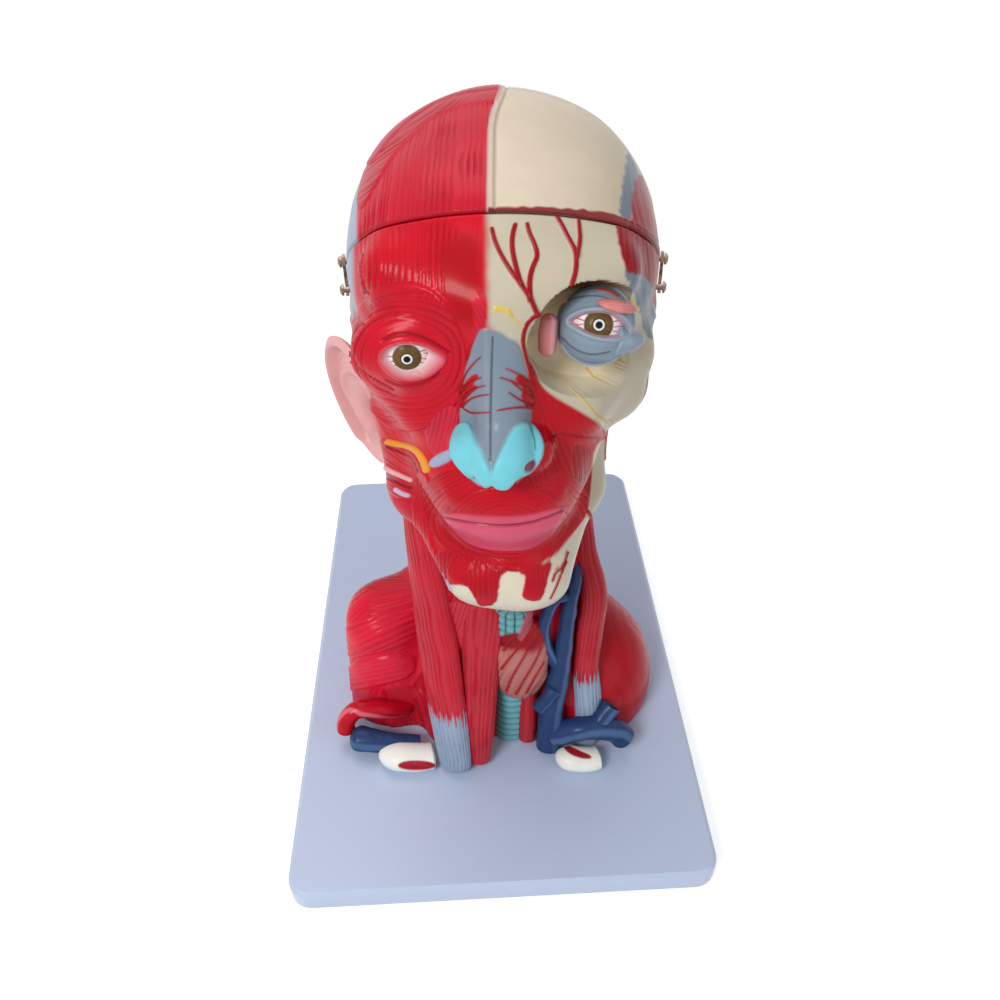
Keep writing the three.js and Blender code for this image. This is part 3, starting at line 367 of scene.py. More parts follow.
class Coat:
    """Paint and relief on a set of points: colour, height along the normal, and fibre shade."""

    def __init__(self, bust, normal, base):
        self.p = bust
        self.n = normal
        world = to_world(bust)
        self.u, self.v = picture_place(world)
        toward = CAMERA_AT - world
        outward = to_world(bust + normal) - world
        self.facing = (outward * toward).sum(-1) / np.linalg.norm(toward, axis=-1)
        self.color = np.empty_like(bust)
        self.color[:] = linear(base)
        self.height = np.zeros(len(bust))
        self.where = np.ones(len(bust))

    def blend(self, at, m, paint):
        self.color[at] = self.color[at] * (1 - m[:, None]) + paint * m[:, None]

    def tint(self, mask, color):
        self.color = self.color * (1 - mask[:, None]) + linear(color) * mask[:, None]

    def darken(self, mask):
        self.color *= 1 - mask[:, None]

    # Cuts a groove by depth and paints shade into it, darker by dark
    def carve(self, mask, depth, dark):
        self.height -= depth * mask
        self.darken(dark * mask)

    def chart(self, name):
        """Two coordinates and how far a point faces that way: the photograph, or the bust from a side."""
        _, y, z = self.p.T
        if name == "front":
            return self.u, self.v, smooth(0.02, 0.16, self.facing)
        if name == "left":
            return y, z, smooth(0.1, 0.4, self.n[:, 0])
        return y, z, smooth(-0.1, -0.4, self.n[:, 0])

    def cover(self, mask, color, lift=0.0, run=None, period=3.0, depth=0.4, seed=1, shade=0.55, sway=1.0, chosen=None):
        seen = mask > FAINT
        at = np.nonzero(seen)[0] if chosen is None else chosen[seen]
        m = mask[seen]
        if not len(at):
            return
        paint = np.broadcast_to(linear(color), (len(at), 3)).copy()
        if run is not None:
            f = fibres(run(at), self.p[at], period, seed, sway)
            paint *= np.clip(1 - shade * (1 - f), 0, 1.2)[:, None]
            self.height[at] = self.height[at] * (1 - m) + (lift + depth * (f - 0.7)) * m
        else:
            self.height[at] = self.height[at] * (1 - m) + lift * m
        self.blend(at, m, paint)

    def near(self, chart, line, margin):
        """The points round a line on a chart: where they are in the list and on it, and their weight."""
        u, v, weight = self.chart(chart)
        weight = weight * self.where
        low, high = line.min(0) - margin, line.max(0) + margin
        near = np.nonzero((u > low[0]) & (u < high[0]) & (v > low[1]) & (v < high[1]) & (weight > 0))[0]
        return near, u[near], v[near], weight[near]

    def patch(self, outline, color, soft=1.2, rough_edge=0.0, chart="front", **more):
        shape = rounded(outline, True)
        near, u, v, weight = self.near(chart, shape, soft * 2 + rough_edge)
        if not len(near):
            return
        d = inside_distance(u, v, shape)
        if rough_edge:
            d = d + (noise(self.p[near], 2.2, 5) - 0.5) * rough_edge
        self.cover(smooth(-soft, soft, d) * weight, color, chosen=near, **more)

    def stroke(self, points, width, color, lift=0.5, end_width=None, soft=0.7, chart="front"):
        line = rounded(points, False)
        widths = np.linspace(width, width if end_width is None else end_width, len(line))
        near, u, v, weight = self.near(chart, line, width)
        if not len(near):
            return
        best = np.full(len(near), -1e9)
        for k in range(len(line) - 1):
            a, e = line[k], line[k + 1] - line[k]
            t = np.clip(((u - a[0]) * e[0] + (v - a[1]) * e[1]) / (e @ e + TINY), 0, 1)
            gap = np.hypot(u - a[0] - t * e[0], v - a[1] - t * e[1])
            best = np.maximum(best, (widths[k] + (widths[k + 1] - widths[k]) * t) / 2 - gap)
        mask = smooth(-soft, soft, best) * weight
        seen = mask > FAINT
        at, m = near[seen], mask[seen]
        self.height[at] += lift * np.sqrt(np.clip(best[seen] / (width / 2) + 0.25, 0, 1)) * m
        self.blend(at, m, linear(color))

    # Runs of fibres: across a line at an angle, round an ellipse, or out from a place
    def across(self, degrees, chart="front"):
        u, v, _ = self.chart(chart)
        a = math.radians(degrees)
        return lambda at: -u[at] * math.sin(a) + v[at] * math.cos(a)

    def around(self, cx, cy, wide=1.0, tall=1.0, chart="front"):
        u, v, _ = self.chart(chart)
        return lambda at: np.hypot((u[at] - cx) / wide, (v[at] - cy) / tall)

    def out_from(self, cx, cy, radius, chart="front"):
        u, v, _ = self.chart(chart)
        return lambda at: np.arctan2(v[at] - cy, u[at] - cx) * radius


def paint_cap(coat):
    x, y, z = coat.p.T
    above = (coat.p - CUT_POINT) @ CUT_NORMAL
    side = x + 4.5 * smooth(5, -40, y)
    bone_side = smooth(-1.5, 1.0, side)
    coat.color[:] = linear((214, 197, 174))
    coat.color *= (1 + 0.06 * (noise(coat.p, 22.0, 3) - 0.5))[:, None]
    # Partly the bone's own yellower tone, partly painted shade: the cap grows darker towards its right side
    coat.tint(0.6 * smooth(15, 62, x) * bone_side, (186, 172, 142))
    # Galea over the muscle half, then the frontal belly with its strands from brow to crown
    coat.where = 1 - bone_side
    coat.cover(coat.where, GALEA, run=lambda at: x[at], period=2.6, depth=0.12, shade=0.12)
    across = lambda at: x[at] * (1 + 0.0016 * (z[at] - 300)) + 0.0024 * x[at] * np.abs(x[at])
    belly = [(520, 40), (520, 300), (358, 300), (357, 240), (357, 214), (358, 190), (366, 165), (382, 138),
        (404, 112), (428, 92), (452, 76), (470, 66)]
    coat.patch(belly, (198, 24, 46), soft=2.5, lift=0.3, run=across, period=3.1, depth=1.0, shade=0.5)
    upper = [(520, 60), (520, 97), (487, 99), (458, 104), (430, 115), (404, 142), (380, 180), (362, 214),
        (357, 200), (366, 165), (382, 138), (404, 112), (428, 92), (452, 76), (470, 66)]
    slope = coat.across(-38)
    coat.patch(upper, (188, 26, 48), lift=1.2, run=slope, period=5.0, depth=0.5, shade=0.35, seed=5)
    # The highest band of strands, in a pinker red: partly its own paint, partly a painted highlight
    coat.patch([(520, 60), (520, 86), (487, 88), (456, 93), (426, 106), (398, 132), (374, 166), (366, 165),
        (382, 138), (404, 112), (428, 92), (452, 76), (470, 66)], (186, 48, 70), lift=1.9, run=slope, period=4.0,
        depth=0.3, shade=0.25)
    coat.where = np.ones(len(x))
    # The raised seam between the halves, and beside it a groove with painted shade in it
    seam = smooth(1.8, 0.4, np.abs(side - 0.6))
    coat.tint(0.7 * seam, (210, 184, 172))
    coat.height += 0.6 * seam
    coat.carve(smooth(0.9, 0.1, np.abs(side - 2.6)), 0.4, 0.3)
    # Temporal muscle of the bone half, a fan with a grey tendon edge
    fan = np.hypot((y + 34) / 1.12, z - 238)
    outer = bone_side * smooth(0.12, 0.3, coat.n[:, 0])
    reach = 68 + 5 * (noise(coat.p, 6.0, 8) - 0.5)
    run = lambda at: np.arctan2(z[at] - 225, y[at] + 40) * 60
    coat.cover(outer * smooth(9, 4, fan - reach), GREY, lift=0.1, run=run, period=3.2, depth=0.3, shade=0.3)
    coat.cover(outer * smooth(1.5, -1.5, fan - reach), (160, 50, 62), lift=0.5, run=run, shade=0.3)
    coat.patch([(628, 150), (637, 166), (640, 190), (634, 214), (626, 224), (618, 214), (621, 190), (625, 166)],
        GREY, soft=2.2, lift=0.2, run=coat.across(84), period=4.2, shade=0.25, rough_edge=4.0)
    coat.patch([(636, 172), (650, 180), (668, 215), (682, 250), (682, 300), (655, 270), (640, 246), (628, 234),
        (631, 205)], (160, 50, 62), soft=1.8, lift=0.4, run=coat.across(80), period=6.0, depth=0.3, shade=0.22,
        rough_edge=4.0)
    # The painted rim above the cut
    wide = 2.0 + 2.4 * smooth(5, 60, x)
    rim = smooth(-0.1, 0.3, above) * smooth(0.7, -0.7, above + 1.1 * (noise(coat.p, 3.0, 4) - 0.5) - wide)
    red_rim = rim * np.where(side > 0, 0.95, 0.2)
    coat.tint(red_rim, (126, 14, 28))
    coat.height += 0.35 * red_rim
    occiput = (1 - bone_side) * smooth(0.1, 0.4, coat.n[:, 1])
    occiput *= smooth(1.2, -1.2, z - 262 - 8 * np.cos(x / 12) + 4 * (noise(coat.p, 3.0, 6) - 0.5))
    coat.cover(occiput, MUSCLE, lift=0.5, run=lambda at: x[at], period=4.0, depth=0.5, shade=0.35, sway=0.3)
    # Sutures of the bone half behind the crown, cut in, with painted shade in their grooves
    for away, here in ((y - 14 + 0.1 * (z - 300) + 1.3 * np.sin(1.5 * x + 1.1 * z), coat.n[:, 2] + coat.n[:, 0]),
            (z - 338 + 0.9 * np.abs(x) + 1.3 * np.sin(1.7 * x), coat.n[:, 1] * 2)):
        line = smooth(1.1, 0.3, np.abs(away)) * bone_side * smooth(0.3, 0.6, here) * smooth(0.2, 0.1, coat.facing)
        coat.carve(line, 0.35, 0.4)


def paint_face_left(coat):
    red = (202, 10, 34)
    coat.patch([(325, 215), (356, 215), (356, 352), (325, 352)], GALEA, soft=1.5)
    coat.patch([(484, 190), (485, 250), (484, 326), (470, 345), (356, 345), (354, 300), (353, 262), (354, 215),
        (360, 190)], red, soft=4.0, run=coat.across(91), period=6.0, depth=0.12, shade=0.12, seed=2)
    coat.patch([(358, 236), (384, 226), (420, 220), (458, 222), (462, 250), (464, 290), (440, 296), (404, 282),
        (372, 292), (360, 300)], red, soft=6.0, run=coat.across(91), period=5.4, depth=0.9, shade=0.6, seed=2,
        rough_edge=6.0)
    coat.patch([(487, 318), (466, 345), (458, 425), (470, 470), (505, 485), (505, 640), (300, 640), (300, 352),
        (354, 352), (354, 318)], red, soft=2.5, run=coat.across(60), period=6.0, depth=0.3, shade=0.25)
    # A deeper red towards the midline: partly the paint's own deep red, partly painted shade
    coat.patch([(436, 244), (481, 226), (482, 326), (456, 326), (444, 290)], (172, 2, 18), soft=9.0)
    # Frown muscle running up from the nose root
    coat.patch([(470, 345), (476, 318), (470, 300), (482, 292), (488, 300), (487, 328), (478, 336)], (208, 30, 54),
        soft=2.5, run=coat.across(64), period=4.6, depth=0.5)
    # Ring muscle of the eye
    ring = coat.around(410, 357, 1.0, 0.86)
    coat.patch([(350, 350), (352, 322), (366, 296), (388, 283), (414, 282), (436, 292), (450, 308), (460, 330),
        (468, 352), (466, 382), (455, 408), (430, 428), (398, 432), (374, 416), (358, 388)], (200, 14, 38),
        lift=1.0, run=ring, period=6.4, depth=0.85, seed=4)
    coat.patch([(366, 352), (372, 330), (392, 322), (420, 322), (444, 334), (456, 356), (448, 378), (424, 392),
        (396, 390), (376, 376)], (200, 14, 38), soft=4.0, lift=1.2, run=ring, period=7.0, depth=0.2, shade=0.15)
    # Creases above and below the eye's slit, cut in and painted a darker red: painted shade
    coat.stroke([(384, 340), (398, 334), (418, 334), (436, 343), (450, 352)], 3.2, (150, 8, 26), lift=-0.9,
        soft=1.5)
    coat.stroke([(388, 378), (404, 385), (426, 382), (440, 372)], 2.4, (160, 12, 30), lift=-0.5, soft=1.4)


def paint_cheeks(coat):
    red = (200, 14, 38)
    # Strands of the upper lip lifters and of the cheek
    coat.patch([(424, 432), (436, 412), (456, 402), (462, 420), (456, 440), (452, 452), (434, 458)], (208, 40, 62),
        soft=1.4, lift=0.8, run=coat.across(102), period=4.8, depth=0.9, shade=0.6)
    coat.patch([(378, 436), (400, 446), (418, 456), (424, 474), (418, 494), (400, 500), (384, 486), (376, 462)],
        red, lift=0.7, run=coat.across(38), period=4.0, depth=0.6)
    coat.patch([(386, 500), (402, 498), (420, 506), (428, 530), (436, 556), (428, 566), (412, 545), (398, 528)],
        (198, 22, 44), lift=0.4, run=coat.across(62), period=3.8, depth=0.5)
    coat.patch([(416, 470), (430, 474), (432, 500), (428, 530), (440, 560), (430, 566), (418, 540), (412, 505)],
        red, soft=1.0, lift=1.0, run=coat.across(84), period=4.0, depth=0.7)
    # The half with bare bone: cheek muscles under the cheek bone
    coat.patch([(505, 470), (532, 345), (534, 366), (540, 386), (556, 398), (578, 410), (600, 424), (609, 436),
        (594, 446), (592, 470), (589, 500), (587, 513), (574, 532), (562, 550), (553, 562), (547, 575), (544, 590),
        (541, 600), (531, 600), (524, 594), (523, 574), (500, 572)], (186, 8, 28), soft=1.8, lift=0.5,
        run=coat.across(72), period=6.0, depth=0.5, shade=0.35)
    coat.patch([(572, 440), (590, 446), (592, 470), (588, 510), (580, 500), (570, 470)], (168, 8, 24), soft=2.0,
        lift=0.2, run=coat.across(86), period=4.0, depth=0.5)
    # A crease under the cheek bone, cut in and painted a darker red: painted shade
    coat.stroke([(545, 440), (558, 432), (580, 436), (604, 437)], 3.0, (150, 6, 20), lift=-0.5, soft=2.0)


def paint_cheek_marks(coat):
    coat.stroke([(388, 441), (405, 445), (416, 449), (423, 458), (427, 469)], 4.0, (224, 148, 36), lift=1.2,
        end_width=7.5)
    coat.patch([(429, 461), (440, 453), (456, 447), (459, 453), (450, 462), (432, 469)], (160, 170, 196), soft=1.0,
        lift=1.0, run=coat.across(-24), depth=0.5, shade=0.35)
    coat.stroke([(384, 466), (395, 472), (412, 479)], 5.0, (224, 170, 172), lift=1.0, end_width=4.0)
    coat.stroke([(397, 489), (403, 493), (409, 495)], 4.5, (196, 178, 204), lift=0.8)
    # Two creases, cut in and painted a darker red: painted shade
    coat.stroke([(384, 474), (398, 482), (412, 487)], 3.0, (132, 10, 26), lift=-0.5)
    coat.stroke([(388, 446), (404, 452), (414, 458), (419, 470)], 2.4, (136, 10, 26), lift=-0.6)


def paint_mouth(coat):
    red = (192, 10, 32)
    ring = coat.around(508, 521, 1.55, 0.92)
    # Bare bone of the chin and of the jaw's front
    coat.patch([(430, 576), (440, 560), (470, 552), (540, 552), (566, 540), (588, 516), (600, 515), (606, 560),
        (584, 600), (560, 622), (520, 634), (470, 628), (444, 604)], (212, 204, 184))
    coat.patch([(424, 500), (428, 480), (446, 468), (468, 474), (490, 487), (515, 488), (545, 480), (562, 470),
        (580, 482), (589, 500), (586, 516), (573, 533), (550, 562), (510, 572), (466, 566), (442, 548), (428, 524)],
        red, soft=1.6, lift=0.7, run=ring, period=4.4, depth=0.75, shade=0.5, seed=6)
    # Chin muscles that end in two tufts on the bone
    coat.patch([(440, 548), (470, 564), (505, 570), (544, 563), (552, 561), (548, 574), (545, 587), (542, 598),
        (534, 602), (521, 597), (524, 584), (526, 574), (513, 571), (501, 573), (499, 590), (496, 603), (484, 606),
        (478, 603), (473, 594), (468, 586), (456, 584), (446, 586), (438, 578), (432, 566)], (186, 10, 32),
        soft=1.0, lift=0.9, run=coat.across(86), period=4.4, depth=0.6, shade=0.5, rough_edge=1.8)
    coat.patch([(446, 562), (462, 556), (476, 560), (470, 572), (462, 582), (452, 582)], red, soft=1.0, lift=1.3,
        run=coat.across(112), period=3.6, depth=0.7)
    # Grey tendon edge along the jaw
    coat.patch([(404, 524), (414, 526), (424, 544), (434, 562), (448, 580), (458, 592), (444, 590), (426, 568),
        (412, 548)], (186, 178, 204), soft=1.4, lift=0.5, run=coat.across(58), period=3.4, depth=0.5, shade=0.5,
        rough_edge=5.0)
    lips = [(443, 515), (456, 511), (480, 514), (505, 515), (532, 513), (554, 506), (564, 506), (562, 514),
        (553, 532), (538, 544), (522, 549.5), (492, 549), (470, 543), (456, 530)]
    coat.patch(lips, (206, 80, 106), soft=1.8, lift=1.6)
    # The fuller lower lip, a little lighter: painted highlight
    coat.patch([(470, 524), (510, 526), (545, 520), (536, 537), (512, 543), (484, 541)], (206, 86, 110), soft=6.0,
        lift=2.4)
    # The crease between the lips, cut in and painted darker: painted shade
    coat.stroke([(448, 516), (466, 520), (490, 523), (515, 523), (540, 518), (560, 509)], 2.2, (150, 40, 60),
        lift=-1.2, soft=1.0)


def paint_nose(coat):
    coat.patch([(478, 330), (486, 328), (500, 331), (508, 338), (518, 342), (524, 362), (529, 390), (531, 424),
        (520, 440), (508, 464), (494, 486), (484, 476), (470, 448), (460, 426), (461, 398), (466, 368)],
        (124, 138, 152), soft=1.3, lift=0.9)
    # A lighter stripe along the nose's raised ridge: painted highlight
    coat.patch([(484, 330), (490, 330), (491, 440), (486, 440)], (134, 144, 156), soft=2.0, lift=1.3)
    # The crease down the nose's middle, cut in and painted darker: painted shade
    coat.stroke([(493, 336), (492, 380), (491, 460)], 1.6, (70, 80, 94), lift=-0.5, soft=0.9)
    coat.patch([(456, 400), (463, 384), (476, 372), (482, 376), (474, 384), (482, 386), (470, 396), (462, 408)],
        MUSCLE, lift=1.1, run=coat.across(-28), period=3.2)
    coat.patch([(520, 372), (530, 386), (534, 404), (526, 412), (518, 396), (522, 388), (512, 378)], MUSCLE,
        lift=1.1, run=coat.across(36), period=3.2)
    for line in ([(461, 392), (466, 374), (474, 364), (482, 356)], [(463, 390), (471, 382), (483, 377)],
            [(463, 398), (474, 389), (487, 385)], [(463, 405), (474, 397), (490, 394)],
            [(462, 404), (470, 411), (478, 413), (491, 412)]):
        coat.stroke(line, 3.0, ARTERY, lift=0.7, end_width=1.4)
    for line in ([(530, 384), (520, 375), (506, 368)], [(531, 394), (518, 383), (500, 377)],
            [(530, 398), (520, 390), (509, 380)], [(530, 406), (518, 400), (508, 392)],
            [(526, 407), (514, 407), (498, 410)]):
        coat.stroke(line, 3.0, ARTERY, lift=0.7, end_width=1.6)
    coat.patch([(461, 424), (470, 423), (476, 434), (484, 452), (492, 470), (495, 480), (490, 486), (480, 485),
        (468, 474), (456, 462), (452, 450), (455, 434)], TEAL, soft=2.6, lift=2.6)
    coat.patch([(516, 423), (526, 422), (536, 430), (543, 445), (540, 460), (528, 472), (514, 478), (508, 487),
        (497, 487), (491, 480), (494, 468), (502, 450), (509, 434)], TEAL, soft=2.6, lift=2.6)
    coat.patch([(520, 470), (522, 463), (532, 458), (534, 464), (527, 470)], (150, 56, 92), soft=1.0, lift=1.4)
    # A crease on the wing cartilage, cut in and painted darker: painted shade
    coat.stroke([(524, 424), (527, 432), (532, 442), (532, 450)], 1.6, (66, 120, 126), lift=-0.4, soft=1.0)


def paint_bone_side(coat):
    arteries = [
        ([(537, 314), (531, 300), (523, 287), (512, 273), (502, 257), (495, 242), (492, 229)], 5.6, 4.2),
        ([(521, 285), (516, 268), (512, 250), (512, 236), (515, 225)], 5.6, 4.8),
        ([(530, 300), (529, 282), (532, 268), (538, 256), (534, 243), (529, 233), (527, 224)], 6.0, 4.0),
        ([(571, 286), (576, 270), (576, 252), (569, 240), (561, 224), (556, 216)], 5.4, 4.4),
        ([(577, 256), (580, 240), (579, 228), (578, 219)], 5.0, 3.6),
        ([(540, 314), (532, 317), (525, 326), (522, 340), (524, 352), (528, 368), (530, 382)], 5.2, 3.6),
        ([(588, 512), (593, 520), (597, 530), (594, 541)], 4.6, 3.4),
        ([(567, 553), (563, 565), (555, 572), (552, 581)], 3.6, 2.4),
        ([(565, 563), (560, 575), (555, 588), (550, 598)], 3.2, 2.0),
    ]
    nerves = [
        ([(496, 309), (506, 309), (511, 314)], 5.5, 4.0), ([(508, 311), (514, 320), (523, 326)], 3.0, 1.6),
        ([(634, 300), (633, 306), (640, 308)], 5.0, 4.0), ([(580, 396), (588, 405), (594, 414), (606, 421)], 2.4, 1.6),
        ([(606, 421), (610, 420), (612, 421)], 2.2, 1.4),
        ([(618, 352), (618, 366), (616, 380), (606, 390), (596, 392)], 2.4, 1.6),
        ([(526, 338), (534, 344), (536, 352)], 2.4, 1.4),
    ]
    for lines, color, lift in ((arteries, ARTERY, 1.1), (nerves, YELLOW, 0.5)):
        for line, width, end in lines:
            coat.stroke(line, width, color, lift, end)


def paint_temple(coat):
    coat.patch([(622, 266), (640, 268), (652, 270), (660, 285), (662, 330), (650, 342), (643, 330), (638, 306),
        (630, 288)], (118, 132, 146), soft=1.6, lift=0.2, run=coat.across(82), period=5.0, shade=0.35,
        rough_edge=5.0)
    coat.patch([(613, 215), (640, 215), (664, 240), (682, 262), (682, 330), (664, 338), (655, 306), (652, 284),
        (642, 275), (627, 273), (619, 252)], (150, 10, 26), lift=0.4, run=coat.across(84), period=4.6, depth=0.5,
        shade=0.4, rough_edge=4.0)


def paint_sides(coat):
    x, y, z = coat.p.T
    above = (coat.p - CUT_POINT) @ CUT_NORMAL
    seen = coat.where.copy()
    coat.where = seen * smooth(0.15, 0.1, coat.facing)
    # Side with muscle: galea above the ear and its small fan
    coat.patch([(-80, 330), (-78, 282), (-68, 262), (-54, 250), (-38, 254), (-20, 262), (-2, 258), (14, 262),
        (28, 250), (44, 243), (56, 246), (66, 300), (66, 330)], GALEA, soft=0.8, rough_edge=2.0,
        run=coat.across(60, "right"), depth=0.15, shade=0.15, chart="right")
    coat.patch([(-30, 246), (-42, 262), (-40, 274), (-26, 282), (-8, 284), (8, 276), (14, 262), (2, 248)],
        (206, 40, 60), soft=0.8, lift=0.6, run=coat.out_from(-16, 222, 40, "right"), period=2.8, sway=0.3,
        chart="right")
    # Side with bone: temporal muscle down to the cheek arch, jaw muscle below it
    coat.patch([(-74, 330), (-72, 292), (-64, 276), (-48, 268), (-28, 264), (-6, 258), (10, 260), (24, 272),
        (34, 296), (36, 330)], (164, 20, 34), soft=0.8, lift=0.4, rough_edge=1.6,
        run=coat.out_from(-36, 222, 60, "left"), period=2.8, depth=0.5, sway=0.3, chart="left")
    coat.patch([(-60, 254), (-28, 256), (-22, 238), (-20, 212), (-26, 194), (-42, 186), (-56, 198), (-62, 226)],
        MUSCLE, soft=0.8, lift=0.9, run=coat.across(112, "left"), period=2.8, depth=0.5, sway=0.3, chart="left")
    # Wavy lines cut in and painted darker: painted shade in their grooves
    for line in ([(10, 262), (18, 250), (22, 240), (30, 232), (38, 234)], [(22, 240), (26, 226), (26, 214)]):
        wavy = [(a + 0.7 * (-1) ** k, b) for k, (a, b) in enumerate(rounded(line, False, 3))]
        coat.stroke(wavy, 0.9, (128, 100, 80), lift=-0.3, soft=0.4, chart="left")
    coat.where = seen
    right = smooth(0.1, 0.36, coat.n[:, 0]) * (x > 0) * coat.where
    # The bony ear hole: a raised ring round a pit, and the pit painted nearly black, painted shade in the hollow
    hole = np.hypot(y + 4, (z - 236) * 0.85)
    coat.height += (1.6 * smooth(8.4, 6.0, hole) * smooth(3.0, 4.6, hole) - 3.0 * smooth(4.8, 3.2, hole)) * right
    coat.darken(0.85 * smooth(4.6, 3.4, hole) * right)
    mastoid = np.hypot((y - 12) / 10, (z - 220 + 0.3 * (y - 12)) / 15)
    coat.height += 3.0 * smooth(1.0, 0.2, mastoid) * right
    # Back of the head and neck
    nape = smooth(0.05, 0.35, coat.n[:, 1])
    lower = smooth(223, 221, z + 6 * np.cos(x / 14) + 3 * (noise(coat.p, 3.0, 6) - 0.5))
    coat.cover(nape * np.where(x > 0, lower, 1.0), MUSCLE, lift=0.5, run=lambda at: x[at] * (1 + 0.0035 * z[at]),
        period=4.4, depth=0.6, shade=0.35, sway=0.3)
    # A groove down the nape, cut in and painted darker: painted shade
    coat.carve(smooth(3.2, 0.6, np.abs(x - 1)) * nape * smooth(236, 220, z), 1.2, 0.4)
    # Painted shade: a dark band on the base just under the cut, where the gap below the cap falls dark
    coat.tint(0.8 * smooth(-1.3, -0.6, above), (70, 8, 14))


def paint_neck(coat):
    x, y, _ = coat.p.T
    red = (200, 26, 48)
    coat.cover(coat.where, (186, 16, 36), run=lambda at: np.arctan2(x[at], -y[at] - 10) * 46, period=3.4,
        depth=0.55, shade=0.5, seed=9)
    # Fanning muscles of the muscle half, down to a cut face
    coat.patch([(330, 560), (356, 560), (425, 540), (430, 700), (330, 700)], (222, 26, 54), soft=1.4, lift=0.2,
        run=coat.out_from(428, 545, 120), period=6.5, depth=0.9, shade=0.5, sway=0.25)
    coat.patch([(340, 628), (372, 616), (420, 600), (420, 640), (380, 652), (344, 660)], (226, 32, 60), lift=1.0,
        run=coat.across(-24), period=5.4, depth=0.9, sway=0.25)
    coat.patch([(342, 668), (372, 658), (416, 652), (414, 676), (380, 684), (344, 694)], (226, 36, 64), soft=1.0,
        lift=1.4, run=coat.across(-12), period=4.8, depth=0.9, sway=0.25)
    coat.patch([(376, 690), (400, 684), (428, 690), (440, 740), (430, 752), (404, 742), (384, 720)], red, lift=0.9,
        run=coat.across(68), period=5.0, depth=0.9, sway=0.25)
    coat.patch([(346, 692), (372, 690), (384, 706), (356, 708)], (196, 30, 50), lift=0.6)
    # Floor of the mouth and the deep front of the neck
    coat.patch([(444, 600), (470, 604), (500, 614), (496, 650), (470, 660), (452, 640)], (206, 50, 70), soft=1.6,
        lift=0.4, run=coat.across(112), period=4.0, depth=0.8)
    coat.patch([(500, 614), (536, 604), (540, 640), (532, 700), (505, 700)], (150, 12, 26), soft=2.0)
    # Shoulder bulge of the bone half
    coat.patch([(600, 560), (614, 560), (622, 616), (650, 650), (664, 700), (640, 760), (600, 760), (602, 660)],
        (172, 6, 26), soft=2.5, lift=0.2, run=coat.across(74), period=16.0, depth=0.35, shade=0.2)
    coat.height -= 0.3 * smooth(3.0, 1.0, np.abs(x + SHOULDER_CUT * SPAN)) * smooth(-0.5, -0.9, coat.n[:, 0])


def paint_base(coat):
    x, y, z = coat.p.T
    head = smooth(-1.5, 1.5, z - 0.72 * SPAN - (y + 0.56 * SPAN) * 0.45)
    on_left = smooth(2.6, -3.4, x + 5 * smooth(296, 304, z) + 1.6 * (noise(coat.p, 4.0, 7) - 0.5))
    coat.cover(on_left, MUSCLE, run=lambda at: y[at] + 0.3 * z[at], period=3.2)
    coat.color *= (1 + 0.05 * (noise(coat.p, 20.0, 3) - 0.5))[:, None]
    coat.where = 1 - head
    paint_neck(coat)
    coat.where = head
    paint_sides(coat)
    paint_face_left(coat)
    paint_cheeks(coat)
    paint_cheek_marks(coat)
    paint_mouth(coat)
    paint_nose(coat)
    paint_bone_side(coat)
    paint_temple(coat)


def scene_object(name, data):
    made = bpy.data.objects.new(name, data)
    bpy.context.scene.collection.objects.link(made)
    return made


# Meshes
def mesh_object(name, points, faces, colors):
    mesh = bpy.data.meshes.new(name)
    mesh.vertices.add(len(points))
    mesh.vertices.foreach_set("co", (np.asarray(points) * MM).astype(np.float32).ravel())
    sizes = np.concatenate([np.full(len(f), f.shape[1]) for f in faces])
    corners = np.concatenate([f.ravel() for f in faces]).astype(np.int32)
    starts = np.concatenate([[0], np.cumsum(sizes)[:-1]]).astype(np.int32)
    mesh.loops.add(len(corners))
    mesh.loops.foreach_set("vertex_index", corners)
    mesh.polygons.add(len(sizes))
    mesh.polygons.foreach_set("loop_start", starts)
    mesh.update(calc_edges=True)
    mesh.validate()
    mesh.polygons.foreach_set("use_smooth", np.ones(len(mesh.polygons), bool))
    paint = mesh.attributes.new("paint", "FLOAT_COLOR", "POINT")
    rgba = np.ones((len(points), 4), np.float32)
    rgba[:, :3] = np.clip(colors, 0, 1)
    paint.data.foreach_set("color", rgba.ravel())
    mesh.materials.append(PAINTED)
    return scene_object(name, mesh)


def ring_faces(rows, columns):
    i, j = np.meshgrid(np.arange(rows - 1), np.arange(columns), indexing="ij")
    a = i * columns + j
    b = i * columns + (j + 1) % columns
    return np.stack([a, b, b + columns, a + columns], -1).reshape(-1, 4)


def fan_faces(row_start, columns, centre, flip=False):
    a = row_start + np.arange(columns)
    b = row_start + (np.arange(columns) + 1) % columns
    f = np.stack([b, a, np.full(columns, centre)], -1)
    return f[:, ::-1] if flip else f


def grid_normals(p):
    n = np.cross(np.roll(p, -1, 1) - np.roll(p, 1, 1), np.gradient(p, axis=0))
    return n / (np.linalg.norm(n, axis=-1, keepdims=True) + 1e-9)


def feed(tree, node, values):
    """Sets a node's inputs, or links them where the value is another node's output."""
    for key, value in values.items():
        if isinstance(value, bpy.types.NodeSocket):
            tree.links.new(value, node.inputs[key])
        else:
            node.inputs[key].default_value = value


def add_node(tree, kind, values, **settings):
    node = tree.nodes.new("ShaderNode" + kind)
    for key, value in settings.items():
        setattr(node, key, value)
    feed(tree, node, values)
    return node


def color_ramp(tree, source, first, second, second_at=1.0):
    ramp = add_node(tree, "ValToRGB", {"Fac": source})
    ends = ramp.color_ramp.elements
    ends[0].color, ends[1].color = (*first, 1), (*second, 1)
    ends[1].position = second_at
    return ramp.outputs["Color"]


def new_material(name):
    material = bpy.data.materials.new(name)
    material.use_nodes = True
    return material, material.node_tree, material.node_tree.nodes["Principled BSDF"]


